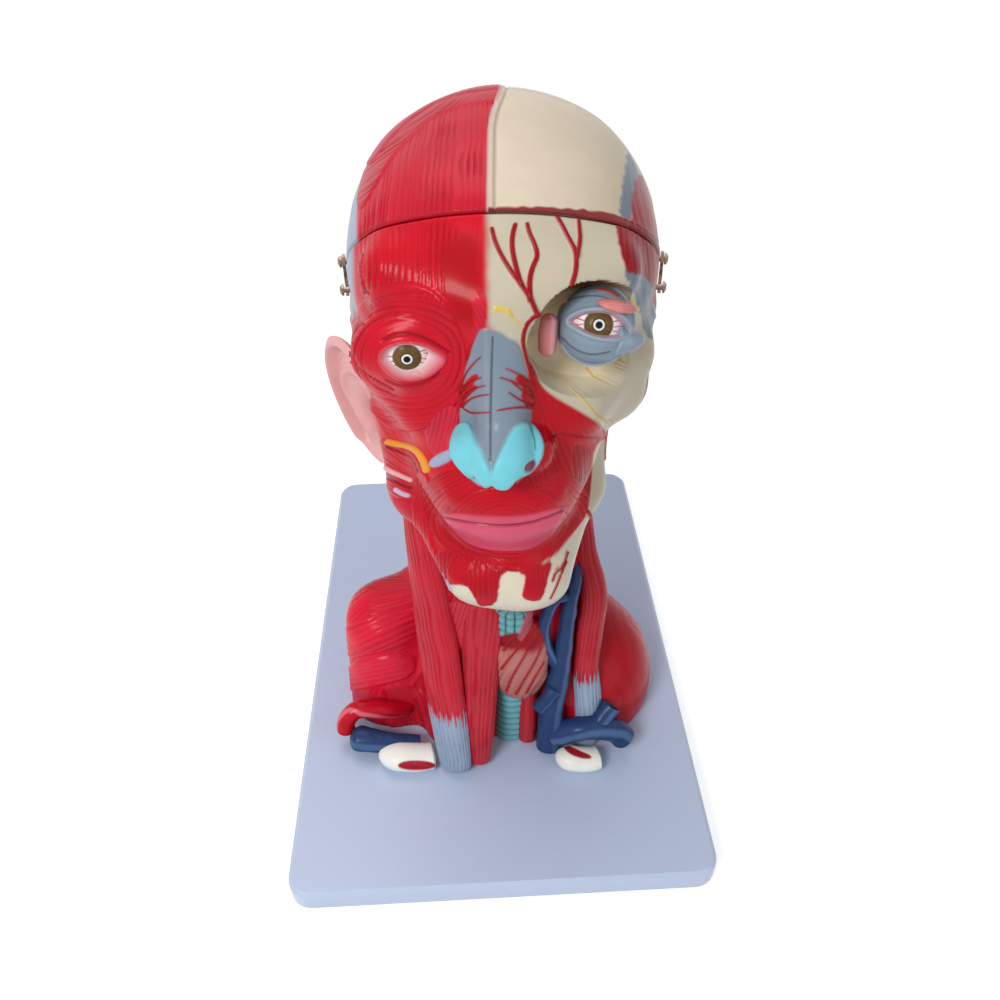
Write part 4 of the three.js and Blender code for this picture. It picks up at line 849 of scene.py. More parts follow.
def uneven_surface(tree, shader, mottling, detail, roughness, bump, grain, relief_depth):
    """Gloss that varies, and a fine relief. Gives the mottling, for the colour."""
    place = add_node(tree, "TexCoord", {}).outputs["Object"]
    mottle = add_node(tree, "TexNoise", {"Vector": place, "Scale": mottling, "Detail": detail}).outputs["Fac"]
    gloss = add_node(tree, "MapRange", {"Value": mottle, "To Min": roughness[0], "To Max": roughness[1]})
    fine = add_node(tree, "TexNoise", {"Vector": place, "Scale": grain}).outputs["Fac"]
    relief = add_node(tree, "Bump", {"Strength": bump, "Distance": relief_depth, "Height": fine})
    feed(tree, shader, {"Roughness": gloss.outputs["Result"], "Normal": relief.outputs["Normal"]})
    return mottle


def painted_material():
    """Painted plastic: the paint attribute with slight unevenness, and a satin varnish."""
    material, tree, shader = new_material("painted_casting")
    mottle = uneven_surface(tree, shader, 60.0, 4.0, (0.28, 0.42), 0.06, 900.0, 0.0006)
    paint = add_node(tree, "Attribute", {}, attribute_name="paint").outputs["Color"]
    shade = add_node(tree, "MapRange", {"Value": mottle, "To Min": 0.9, "To Max": 1.08}).outputs["Result"]
    mix = add_node(tree, "VectorMath", {0: paint, "Scale": shade}, operation="SCALE")
    feed(tree, shader, {"Base Color": mix.outputs[0], "Coat Weight": 0.15, "Coat Roughness": 0.18,
        "Specular IOR Level": 0.08})
    return material


def solid_material(name, color, roughness=(0.3, 0.45), metallic=0.0, bump=0.04, spread=0.06):
    """One colour with slight mottling, for plain moulded, metal and rubber pieces."""
    material, tree, shader = new_material(name)
    mottle = uneven_surface(tree, shader, 22.0, 5.0, roughness, bump, 700.0, 0.0004)
    base = linear(color)
    paint = color_ramp(tree, mottle, base * (1 - spread), np.clip(base * (1 + spread), 0, 1))
    feed(tree, shader, {"Metallic": metallic, "Base Color": paint})
    return material


PAINTED = painted_material()
BOARD = solid_material("board_plastic", (181, 194, 219), (0.3, 0.42), bump=0.05, spread=0.02)
STEEL = solid_material("nickel_steel", (140, 120, 106), (0.18, 0.36), metallic=1.0, bump=0.05)
RUBBER = solid_material("black_rubber", (26, 26, 28), (0.6, 0.8), bump=0.15)


def settle(piece, body, slot, *replaced):
    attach(piece, body)
    if replaced:
        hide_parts(*replaced)


def closed_piece(name, stack, paints, body, slot, *replaced, top=None):
    """Rows of rings as one mesh, closed by a fan at each end."""
    rows, columns = stack.shape[:2]
    total = rows * columns
    points = np.concatenate([stack.reshape(-1, 3), [stack[0].mean(0), stack[-1].mean(0) if top is None else top]])
    paints = np.concatenate([paints.reshape(-1, 3), [paints[0, 0], paints[-1, 0]]])
    faces = [ring_faces(rows, columns), fan_faces(0, columns, total),
        fan_faces(total - columns, columns, total + 1, flip=True)]
    settle(mesh_object(name, to_world(points), faces, paints), body, slot, *replaced)


# The skins: base and cap, each one closed grid that turns in over the cut into the cavity
def cavity_distance(p):
    return forms_distance(p, CAVITY_FORMS)


def cut_line(turn):
    t = np.linspace(0.45, 1.0, CUT_ROWS)[:, None] + np.zeros((1, len(turn)))
    start, out, reach = surface(t, np.broadcast_to(turn, t.shape), coarse=3)
    height = ((start + out * reach[..., None]) * SPAN - CUT_POINT) @ CUT_NORMAL
    first = (height > 0).argmax(0)
    k = np.arange(len(turn))
    low, high = height[first - 1, k], height[first, k]
    return t[first - 1, k] + (t[first, k] - t[first - 1, k]) * (-low / (high - low))


def skin(upper):
    columns = int(SKIN_COLUMNS * DETAIL)
    rows = int((CAP_ROWS if upper else BASE_ROWS) * DETAIL)
    even = np.linspace(-math.pi, math.pi, columns, endpoint=False)
    turn = even - FRONT_CROWDING * np.sin(even)
    cut = cut_line(turn)
    share = np.linspace(0, 1, rows)[:, None]
    t = cut + (1 - cut) * share if upper else cut * share
    start, out, reach = surface(t, np.broadcast_to(turn, t.shape))
    smooth_place = (start + out * reach[..., None]) * SPAN
    normal = grid_normals(smooth_place)
    depth = np.zeros(reach.shape)
    if not upper:
        reach, depth = into_orbit(start, out, reach)
    place = (start + out * reach[..., None]) * SPAN
    return place, normal, depth, rows, columns


def cavity_rows(rim, sign, count):
    """Rows from the cavity's edge on the cut to its far pole."""
    centre = CAVITY_CENTRE * SPAN
    first = rim - centre
    first /= np.linalg.norm(first, axis=-1, keepdims=True)
    rows = []
    for k in range(1, count):
        part = (k / count) ** 0.9
        aim = first * (1 - part) + sign * CUT_NORMAL * part
        aim /= np.linalg.norm(aim, axis=-1, keepdims=True)
        start = np.broadcast_to(CAVITY_CENTRE, aim.shape)
        reach = march(start, aim, np.full(len(aim), 0.45), 24, cavity_distance)
        rows.append(centre + aim * reach[:, None] * SPAN)
    return rows


def rim_rows(outer, sign):
    """From the skin's edge, rounded over, in across the cut to the cavity's edge."""
    middle = CUT_POINT + CUT_NORMAL * sign * CUT_GAP / 2
    outer = outer - ((outer - middle) @ CUT_NORMAL)[:, None] * CUT_NORMAL
    low, high = np.zeros(len(outer)), np.ones(len(outer))
    for _ in range(26):
        half = (low + high) / 2
        d = cavity_distance((middle + (outer - middle) * half[:, None]) / SPAN)
        low, high = np.where(d < 0, half, low), np.where(d < 0, high, half)
    inner = middle + (outer - middle) * low[:, None]
    length = np.linalg.norm(outer - inner, axis=-1, keepdims=True)
    inward = (inner - outer) / length
    steps = [EDGE_ROUNDING, 2.0, 3.5]
    return outer, [outer + inward * s for s in steps] + [inner - inward * 0.6, inner]


def paint_orbit(coat, inside):
    """The left orbit's wall: pale bone, with painted shadow in dark brown over its top under the brow, and its nerve.
    """
    deep = smooth(0.3, 2.0, inside)
    # Painted shadow: dark brown over the orbit's top, under the brow
    orbit_top_shadow = smooth(296, 309, coat.p[:, 2] + 8 * (noise(coat.p, 10.0, 4) - 0.5))[:, None]
    wall = linear((238, 222, 190)) * (1 - orbit_top_shadow) + linear((110, 66, 44)) * orbit_top_shadow
    streak = (0.85 + 0.3 * noise(coat.p, 6.0, 12))[:, None]
    coat.color = coat.color * (1 - deep[:, None]) + wall * streak * deep[:, None]
    coat.height *= 1 - deep
    for line in ([(621, 350), (618, 362), (612, 376), (606, 386)],
            [(586, 368), (594, 378), (602, 384), (606, 386)], [(618, 362), (624, 372)]):
        coat.stroke(line, 2.4, YELLOW, lift=0.4, end_width=1.4)


def paint_lids(coat):
    """The slit of the right eye, whose lids are part of the base. Gives where the ball shows."""
    x, y, z = coat.p.T
    slit = [(381, 356), (389, 347.5), (403, 343.5), (424, 344.5), (437, 351), (446, 358), (440, 364.5),
        (428, 373), (411, 377), (397, 374), (387, 366)]
    d = inside_distance(coat.u, coat.v, rounded(slit, True)) * smooth(0.1, 0.3, coat.facing)
    head = (x < 0) & (z > 260) & (y < -60)
    lid = smooth(4.5, 0.6, np.abs(d)) * head
    coat.tint(0.45 * smooth(2.6, 0.4, np.abs(d + 1.2)) * head, (222, 96, 112))
    coat.height += 1.1 * lid
    behind_ball = smooth(-0.6, 0.8, d) * head
    coat.tint(behind_ball * smooth(12.6, 13.6, np.linalg.norm(coat.p - RIGHT_EYE, axis=-1)), (228, 216, 216))
    return behind_ball


def make_skin(upper):
    place, normal, depth, rows, columns = skin(upper)
    sign = 1 if upper else -1
    coat = Coat(place.reshape(-1, 3), normal.reshape(-1, 3), BONE)
    if upper:
        paint_cap(coat)
    else:
        paint_base(coat)
        paint_orbit(coat, depth.ravel() * SPAN)
        behind_ball = paint_lids(coat)
    edge = 0 if upper else rows - 1
    height = coat.height.reshape(rows, columns)
    above = np.abs((place - CUT_POINT) @ CUT_NORMAL)
    easing = smooth(0.0, 1.2, above)
    height = height * easing - EDGE_ROUNDING * (1 - easing)
    height = height - CROWN_DROP * smooth(340, 360, place[..., 2])
    # Low ground round each latch screw, where its hook swings
    for node in ("right_latch_screw", "left_latch_screw"):
        screw = np.mean(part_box(node), axis=0) / MM
        under = smooth(HOOK_REACH + 5, HOOK_REACH, np.linalg.norm(to_world(place) - screw, axis=-1))
        height = height * (1 - under) - HOOK_ROOM * under
    if upper:
        height[-1] = 0
    moved = place + normal * height[..., None]
    if not upper:
        out = moved - RIGHT_EYE
        far = np.linalg.norm(out, axis=-1, keepdims=True)
        pull = behind_ball.reshape(rows, columns, 1) * smooth(0.0, 1.0, far - EYE_RADIUS + LID_COVER)
        moved = moved - out / far * (far - EYE_RADIUS + LID_COVER) * pull
    outer, inner_rows = rim_rows(moved[edge], sign)
    moved[edge] = outer
    if not upper:
        moved[0, :, 2] = 0
    inner_rows += cavity_rows(inner_rows[-1], sign, int(CAVITY_ROWS * DETAIL))
    colors = coat.color.reshape(rows, columns, 3)
    rim_color = np.broadcast_to(linear((104, 12, 20)), (len(inner_rows), columns, 3)).copy()
    rim_color[5:] = linear((216, 204, 178))
    if upper:
        closed_piece("cap_casting", np.concatenate([np.stack(inner_rows)[::-1], moved[:-1]]),
            np.concatenate([rim_color[::-1], colors[:-1]]), "skull_cap", "bone", "skull_cap", top=moved[-1].mean(0))
    else:
        closed_piece("head_and_neck_casting", np.concatenate([moved, np.stack(inner_rows)]),
            np.concatenate([colors, rim_color]), STATIC, "muscle", "head_and_neck")


make_skin(False)
make_skin(True)


# Runs and lofts, each in the bust's frame
def smooth_run(points, count):
    """Centripetal curve through the points, as the solids have it."""
    p = np.array(points, float)
    p = np.concatenate([[2 * p[0] - p[1]], p, [2 * p[-1] - p[-2]]])
    out = []
    for s in np.linspace(0, len(points) - 1, count):
        k = min(int(s), len(points) - 2)
        a, b, c, d = p[k:k + 4]
        w = s - k
        da, db, dc = (max(float(np.linalg.norm(y - x)) ** 0.5, 1e-6) for x, y in ((a, b), (b, c), (c, d)))
        t1 = ((b - a) / da - (c - a) / (da + db) + (c - b) / db) * db
        t2 = ((c - b) / db - (d - b) / (db + dc) + (d - c) / dc) * db
        out.append(b + t1 * w + (3 * (c - b) - 2 * t1 - t2) * w * w + (2 * (b - c) + t1 + t2) * w ** 3)
    return np.array(out)


def loft(rows, radius=None, count=140, sides=72, taper=(0.0, 0.0)):
    """Oval rings along a run. Gives the places, the share along it and the turn round it."""
    count, sides = int(count * DETAIL), int(sides * DETAIL)
    rows = np.array(rows, float)
    halves = rows[:, 3:] if radius is None else np.full((len(rows), 2), radius)
    run = smooth_run(rows[:, :3] * SPAN, count)
    along = np.gradient(run, axis=0)
    along /= np.linalg.norm(along, axis=-1, keepdims=True)
    outward = run * np.array([1, 1, 0])
    outward /= np.linalg.norm(outward, axis=-1, keepdims=True)
    across = np.cross(along, outward)
    across /= np.linalg.norm(across, axis=-1, keepdims=True)
    outward = np.cross(across, along)
    at = np.linspace(0, len(rows) - 1, count)
    wide, deep = (np.interp(at, np.arange(len(rows)), halves[:, k] * SPAN)[:, None, None] for k in (0, 1))
    share = np.linspace(0, 1, count)[:, None]
    size = np.ones((count, 1))
    for end, reach in ((0, taper[0]), (1, taper[1])):
        if reach:
            size = size * np.sqrt(np.clip(1 - (1 - np.clip(np.abs(share - end) / reach, 0, 1)) ** 2, 0.0016, 1))
    turn = np.linspace(0, 2 * math.pi, sides, endpoint=False)[None, :]
    ring = across[:, None] * np.cos(turn)[..., None] * wide + outward[:, None] * np.sin(turn)[..., None] * deep
    return run[:, None] + ring * size[..., None], share + 0 * turn, turn + 0 * share


def tube_piece(name, grid, paint, body, slot, *replaced, bores=(False, False)):
    """A closed loft with its paint and relief. A bored end turns in on itself and ends in painted shade, near black."""
    place, share, turn = grid
    rows, columns = place.shape[:2]
    normal = grid_normals(place)
    middle = place.mean(1, keepdims=True)
    if ((place - middle) * normal).sum() < 0:
        place, share, turn = place[:, ::-1], share[:, ::-1], turn[:, ::-1]
        normal = grid_normals(place)
    coat = Coat(place.reshape(-1, 3), normal.reshape(-1, 3), MUSCLE)
    paint(coat, share.ravel(), turn.ravel())
    moved = (coat.p + coat.n * coat.height[:, None]).reshape(rows, columns, 3)
    moved[..., 2] = np.maximum(moved[..., 2], 0.05)
    colors = coat.color.reshape(rows, columns, 3)
    stack, paints = [moved], [colors]
    for end, bored in enumerate(bores):
        if not bored:
            continue
        rim = moved[-1 if end else 0]
        inner = rim.mean(0)
        inward = moved[-4 if end else 3].mean(0) - inner
        inward /= np.linalg.norm(inward)
        hollow = [inner + (rim - inner) * 0.72, inner + (rim - inner) * 0.66 + inward * 2.0,
            inner + (rim - inner) * 0.5 + inward * 5.0]
        # The bore's inside painted near black: painted shade in the hollow
        dark = np.full((columns, 3), linear(PAINTED_BORE_SHADE))
        tones = [colors[-1 if end else 0], dark, dark]
        for pile, extra in ((stack, hollow), (paints, tones)):
            if end:
                pile.append(np.stack(extra))
            else:
                pile.insert(0, np.stack(extra[::-1]))
    closed_piece(name, np.concatenate(stack), np.concatenate(paints), body, slot, *replaced)


def strands(count, color, depth=0.5, shade=0.5, tendon=None, tendon_color=(150, 166, 190)):
    """Fibres along a muscle with a painted pink highlight along the strands, and a grey tendon below a height where
    there is one.
    """
    def paint(coat, share, turn):
        run = lambda at: turn[at] * count / (2 * math.pi)
        coat.cover(coat.where, color, run=run, period=1.0, depth=depth, shade=shade)
        # Painted highlight: a pink glint along the raised strands
        coat.tint(0.12 * smooth(0.45, 0.95, fibres(turn * count / (2 * math.pi), coat.p, 1.0, 7)), (236, 120, 136))
        if tendon is not None:
            jag = 11 * (noise(np.stack([turn * count * 0.9, turn, coat.p[:, 2] * 0.03], -1), 1.0, 6) - 0.5)
            below = smooth(1.5, -1.5, coat.p[:, 2] + jag - tendon * SPAN)
            coat.cover(below, tendon_color, run=run, period=0.9, depth=depth * 1.3, shade=0.42, lift=0.3)
    return paint


def plain(color, glint=(255, 255, 255), strength=0.0, lumps=0.0):
    def paint(coat, share, turn):
        coat.color[:] = linear(color)
        coat.color *= (0.9 + 0.2 * noise(coat.p, 9.0, 4))[:, None]
        coat.height += lumps * (noise(coat.p, 5.0, 8) - 0.5)
        # Painted highlight: a stripe of the glint colour along one side of the tube
        if strength:
            coat.tint(strength * smooth(0.9, 1.0, np.cos(turn - 1.9)), glint)
    return paint


def make_neck_pieces():
    tube_piece("right_long_neck_muscle", loft(
        [(-0.27, -0.06, 0.95, 0.05, 0.04), (-0.235, -0.22, 0.68, 0.066, 0.043), (-0.2, -0.37, 0.38, 0.069, 0.039),
         (-0.165, -0.5, 0.12, 0.055, 0.037), (-0.155, -0.54, 0.003, 0.045, 0.029)], None, 240, 130, (0.1, 0.05)),
        strands(23, (196, 18, 40), 0.8, 0.55, tendon=0.2), STATIC, "muscle", "right_sternomastoid")
    tube_piece("left_long_neck_muscle", loft(
        [(0.2, -0.08, 0.93, 0.035, 0.035), (0.222, -0.205, 0.63, 0.037, 0.036), (0.256, -0.275, 0.495, 0.042, 0.036),
         (0.247, -0.315, 0.375, 0.044, 0.036), (0.2385, -0.362, 0.258, 0.038, 0.035),
         (0.247, -0.405, 0.165, 0.042, 0.033), (0.247, -0.43, 0.07, 0.038, 0.03), (0.247, -0.435, 0.003, 0.036, 0.028)],
        None, 220, 110, (0.14, 0.03)),
        strands(17, (176, 12, 32), 0.7, 0.5, tendon=0.25), STATIC, "muscle", "left_sternomastoid")
    tube_piece("right_strap", loft(
        [(-0.055, -0.34, 0.55, 0.07, 0.03), (-0.075, -0.4, 0.34, 0.056, 0.034), (-0.085, -0.49, 0.12, 0.046, 0.036),
         (-0.09, -0.51, 0.003, 0.036, 0.03)], None, 190, 110, (0.08, 0.06)),
        strands(19, (186, 16, 38), 0.9, 0.6), STATIC, "muscle", "right_strap_muscle")

    def windpipe(coat, share, turn):
        rings = ridge(coat.p[:, 2] / 5.2)
        coat.color[:] = linear((108, 170, 178))
        # Darker in the grooves between the rings: painted shade
        coat.color *= (0.6 + 0.4 * rings)[:, None]
        coat.height += 1.1 * rings - 0.5
        # Slits near the top, cut in and painted dark: painted shade
        slits = smooth(0.5, 0.2, np.abs(np.sin(turn * 6))) * smooth(88, 94, coat.p[:, 2])
        coat.carve(slits, 0.9, 0.8)
        # Muscle that covers its right edge and crosses it below the throat cartilage
        coat.patch([(496, 636), (519, 631), (550, 640), (550, 655), (496, 655)], (146, 14, 30), soft=1.0, lift=0.6,
            run=coat.across(-40), period=4.0, depth=0.5)
        coat.patch([(520, 628), (529, 606), (552, 596), (552, 646), (532, 643), (516, 640)], (186, 84, 94),
            soft=1.0, lift=1.0, run=coat.across(-58), period=4.4, depth=0.9)
    tube_piece("windpipe", loft([(0.023, -0.355, 0.53, 0.052, 0.046), (0.019, -0.375, 0.261, 0.047, 0.045),
        (0.015, -0.39, 0.003, 0.055, 0.046)], None, 200, 84), windpipe, STATIC, "cartilage", "trachea")

    def gland(coat, share, turn):
        coat.color[:] = linear((178, 112, 104))
        coat.cover(coat.where, (186, 116, 108), run=coat.across(-62), period=7.0, depth=1.2, shade=0.5)
        for line in ([(507, 690), (514, 672), (524, 656), (533, 640)],
                [(516, 693), (524, 678), (534, 662), (541, 646)], [(502, 668), (511, 656), (520, 646), (526, 636)],
                [(526, 692), (534, 676), (543, 662)], [(504, 650), (514, 642), (524, 632)]):
            coat.stroke(line, 2.8, (160, 10, 26), lift=1.2, end_width=1.8)
        upper = smooth(76, 84, coat.p[:, 2] + 6 * (noise(coat.p, 5.0, 3) - 0.5))
        coat.cover(upper, (160, 14, 30), run=coat.across(-50), period=6.0, depth=0.9, shade=0.5)
    tube_piece("gland_with_vessels", loft(
        [(0.06, -0.35, 0.48, 0.056, 0.036), (0.046, -0.385, 0.36, 0.08, 0.044), (0.042, -0.395, 0.27, 0.08, 0.044),
         (0.042, -0.4, 0.18, 0.05, 0.034)], None, 150, 110, (0.16, 0.2)), gland, STATIC, "gland", "thyroid_gland")
    vein = plain(VEIN, VEIN_SHINE, 0.5, 0.8)
    tube_piece("neck_vein", loft([(0.196, -0.21, 0.6, 0.017, 0.017), (0.196, -0.29, 0.566, 0.021, 0.021),
        (0.185, -0.318, 0.513, 0.022, 0.022), (0.1745, -0.348, 0.413, 0.024, 0.024),
        (0.156, -0.395, 0.268, 0.031, 0.029), (0.135, -0.435, 0.169, 0.037, 0.033),
        (0.131, -0.455, 0.045, 0.041, 0.037), (0.13, -0.46, 0.003, 0.041, 0.037)], None, 220, 72, (0.0, 0.04)),
        vein, STATIC, "vein", "left_jugular_vein")
    tube_piece("neck_vein_loop", loft([(0.188, -0.305, 0.52), (0.14, -0.342, 0.54), (0.113, -0.355, 0.47),
        (0.113, -0.37, 0.39), (0.145, -0.385, 0.31)], 0.018, 130, 44), vein, STATIC, "vein")
    tube_piece("neck_vein_stub", loft([(0.142, -0.43, 0.25), (0.118, -0.445, 0.222), (0.094, -0.452, 0.19)], 0.021,
        60, 44), vein, STATIC, "vein", bores=(False, True))
    tube_piece("shoulder_vein", loft([(0.14, -0.46, 0.07), (0.24, -0.47, 0.115), (0.33, -0.455, 0.08),
        (0.37, -0.465, 0.038)], 0.037, 150, 64, (0.0, 0.12)), vein, STATIC, "vein")
    tube_piece("shoulder_vein_stub", loft([(0.25, -0.468, 0.1), (0.285, -0.45, 0.13), (0.315, -0.425, 0.165)], 0.03,
        70, 52), vein, STATIC, "vein", bores=(False, True))
    tube_piece("neck_artery", loft([(0.066, -0.385, 0.25), (0.065, -0.415, 0.11), (0.062, -0.425, 0.003)], 0.029,
        110, 64, (0.1, 0.05)), strands(9, (170, 12, 28), 0.4, 0.4), STATIC, "artery", "left_carotid_artery")
    tube_piece("shoulder_artery", loft([(-0.498, -0.445, 0.045), (-0.497, -0.425, 0.084), (-0.467, -0.405, 0.115),
        (-0.405, -0.395, 0.11), (-0.34, -0.365, 0.075), (-0.29, -0.32, 0.05)], 0.0285, 150, 64, (0.1, 0.0)),
        plain((184, 12, 34), (226, 120, 136), 0.7, 0.4), STATIC, "artery", "right_subclavian_artery")
    tube_piece("shoulder_vein_right", loft([(-0.485, -0.455, 0.052, 0.042, 0.042),
        (-0.41, -0.468, 0.047, 0.036, 0.036), (-0.336, -0.47, 0.042, 0.027, 0.027),
        (-0.27, -0.46, 0.032, 0.021, 0.021)], None, 150, 64, (0.16, 0.0)), vein, STATIC, "vein",
        "right_subclavian_vein")
    for name, centre, radii, node, spot in (
            ("right_collar_bone", (-0.305, -0.515, 0.035), (0.087, 0.047, 0.036), "right_clavicle_end",
             [(397, 765), (404, 761), (418, 760), (432, 762), (438, 766), (430, 770), (412, 771), (400, 769)]),
            ("left_collar_bone", (0.215, -0.52, 0.032), (0.068, 0.042, 0.032), "left_clavicle_end",
             [(562, 745), (568, 744), (580, 750), (592, 755), (591, 759), (580, 758), (568, 753)])):
        def collar(coat, share, turn, spot=spot):
            coat.color[:] = linear((236, 236, 228))
            coat.patch(spot, (176, 30, 48), soft=0.9, lift=-0.5, run=coat.across(70), period=2.4)
        x, y, z = centre
        a, b, c = radii
        tube_piece(name, loft([(x - a, y + 0.012, z, c * 0.95, b * 0.9), (x - a * 0.3, y, z, c, b),
            (x + a * 0.4, y - 0.003, z - 0.001, c * 0.94, b), (x + a, y + 0.006, z - 0.003, c * 0.8, b * 0.9)],
            None, 140, 90, (0.34, 0.08)), collar, STATIC, "bone", node)


def ball_piece(name, centre, radii, aim, paint, body, slot, *replaced, reach=math.pi):
    """A ball whose rows run out from the direction it looks in."""
    aim = np.array(aim, float) / np.linalg.norm(aim)
    side = np.cross(aim, [0, 0, 1])
    side /= np.linalg.norm(side)
    top = np.cross(side, aim)
    rows, columns = int(150 * DETAIL), int(150 * DETAIL)
    polar = np.linspace(0.01, reach - 0.01, rows)[:, None]
    turn = np.linspace(0, 2 * math.pi, columns, endpoint=False)[None, :]
    parts = (aim, np.cos(polar)), (side, np.sin(polar) * np.cos(turn)), (top, np.sin(polar) * np.sin(turn))
    out = sum(axis * part[..., None] for axis, part in parts)
    grid = np.array(centre) + out * np.array(radii), polar + 0 * turn, turn + 0 * polar
    tube_piece(name, grid, paint, body, slot, *replaced)


def sight(centre, u, v):
    """The direction from an eye's centre to where the picture shows its pupil."""
    ray = picture_ray(u, v)
    c = to_world(np.array(centre, float)) - CAMERA_AT
    along = c @ ray
    gap = c @ c - along ** 2
    hit = ray * (along - math.sqrt(max(EYE_RADIUS ** 2 - gap, 1e-6)))
    return to_bust(CAMERA_AT + hit) - centre


def eye_paint(veins):
    def paint(coat, polar, turn):
        coat.color[:] = linear((238, 232, 232))
        from_pupil = polar * EYE_RADIUS
        coat.tint(0.5 * smooth(7.0, 11.5, from_pupil), (228, 160, 168))
        for line in veins:
            coat.stroke(line, 1.5, (176, 30, 60), lift=0.15, end_width=0.8, soft=0.5)
        iris = smooth(6.2, 5.9, from_pupil)
        spokes = (0.75 + 0.4 * noise(np.stack([turn * 9, from_pupil * 0.4, polar], -1), 1.0, 3))[:, None]
        coat.color = coat.color * (1 - iris[:, None]) + linear((104, 80, 44)) * spokes * iris[:, None]
        coat.tint(0.6 * smooth(0.5, 0.1, np.abs(from_pupil - IRIS_RADIUS)), (60, 44, 24))
        coat.tint(smooth(2.75, 2.5, from_pupil), (12, 12, 14))
        coat.tint(smooth(0.45, 0.2, np.abs(from_pupil - CATCHLIGHT_RADIUS)), (238, 240, 240))
        coat.height += 0.5 * smooth(6.6, 3.0, from_pupil)
    return paint


def from_eye(x, y, z, wide, deep):
    return (*(LEFT_EYE / SPAN + np.array([x, y, z])), wide, deep)


def make_eyes():
    aim = sight(RIGHT_EYE, 407, 359)
    ball_piece("right_eye_painted", RIGHT_EYE, (EYE_RADIUS,) * 3, aim,
        eye_paint([[(384, 355), (389, 357), (394, 356)], [(386, 361), (391, 362), (395, 360)],
        [(389, 366), (394, 366), (398, 364)], [(442, 357), (434, 354), (424, 353)],
        [(440, 359), (432, 360), (422, 358)], [(436, 364), (428, 364), (420, 362)],
        [(430, 350), (424, 350), (419, 352)]]), STATIC, "eye", "right_eyeball")
    aim = sight(LEFT_EYE, 599, 325)
    ball_piece("left_eye_painted", LEFT_EYE, (EYE_RADIUS,) * 3, aim,
        eye_paint([[(571, 322), (577, 325), (583, 324)], [(572, 326), (578, 330), (584, 332)],
        [(577, 318), (582, 320), (586, 321)], [(628, 328), (621, 326), (614, 327)],
        [(627, 333), (620, 332), (613, 331)], [(622, 320), (617, 321), (612, 322)]]), "left_eye", "eye",
        "left_eyeball")
    almond = [(567, 321), (576, 315), (586, 311.5), (600, 310.5), (612, 312), (621, 317), (631, 329), (626, 336),
        (612, 338.5), (596, 336.5), (584, 332), (574, 326)]

    def lids(coat, polar, turn):
        coat.color[:] = linear((132, 148, 164))
        coat.cover(coat.where, (134, 151, 167), run=coat.around(600, 326, 1.4, 1.0), period=7.0, depth=0.35, shade=0.22)
        d = inside_distance(coat.u, coat.v, rounded(almond, True)) * smooth(0.1, 0.3, coat.facing)
        d = np.where(coat.facing > 0, d, -20)
        edge = smooth(4.0, 0.6, np.abs(d + 1.4))
        coat.height += 0.9 * edge
        coat.tint(0.35 * edge, (176, 184, 196))
        opening = smooth(-0.3, 1.0, d)
        coat.height = coat.height * (1 - opening) - 4.6 * opening
        coat.tint(opening, (214, 120, 128))
        # Folds above and below the lids, cut in and painted darker: painted shade
        coat.stroke([(560, 304), (572, 298), (590, 294), (608, 297), (622, 306)], 2.0, (92, 102, 116), lift=-0.5)
        coat.stroke([(562, 338), (574, 350), (592, 356), (610, 352)], 2.0, (92, 102, 116), lift=-0.5)
        coat.stroke([(597, 289), (608, 291), (618, 296)], 3.0, (176, 70, 62), lift=0.4)
        back = smooth(-4.5, -6.5, (coat.p - LEFT_EYE) @ np.array([0.2, -0.98, 0]))
        coat.height -= 2.6 * back
    ball_piece("left_lids", LEFT_EYE + np.array([0.0, 0.0, -0.6]), (16.0, 16.4, 16.6), (0.0, -1.0, 0.25), lids,
        "left_eye", "eyelid_grey", "left_eyelids", reach=math.radians(118))
    grey = plain((132, 148, 164), (170, 184, 198), 0.3, 0.5)
    tube_piece("left_lid_tail", loft(
        [from_eye(0.03, -0.046, -0.012, 0.037, 0.032), from_eye(0.06, -0.034, -0.022, 0.028, 0.026),
         from_eye(0.086, -0.014, -0.032, 0.018, 0.017), from_eye(0.108, 0.006, -0.04, 0.009, 0.009)],
        None, 120, 64, (0.1, 0.3)), grey, "left_eye", "eyelid_grey")
    tube_piece("tear_sac", loft(
        [from_eye(-0.099, -0.032, 0.04, 0.0175, 0.0175), from_eye(-0.101, -0.034, -0.006, 0.0205, 0.0205),
         from_eye(-0.102, -0.03, -0.055, 0.019, 0.019)], None, 100, 56, (0.16, 0.16)),
        plain((196, 118, 120), (228, 178, 180), 0.5, 0.3), "left_eye", "gland", "left_lacrimal_sac")
    tube_piece("tear_gland", loft(
        [from_eye(-0.002, -0.047, 0.073, 0.006, 0.014), from_eye(0.036, -0.043, 0.063, 0.011, 0.026),
         from_eye(0.078, -0.014, 0.042, 0.008, 0.016)], None, 100, 90, (0.25, 0.2)),
        strands(12, (212, 132, 128), 0.6, 0.32), "left_eye", "gland", "left_lacrimal_gland")


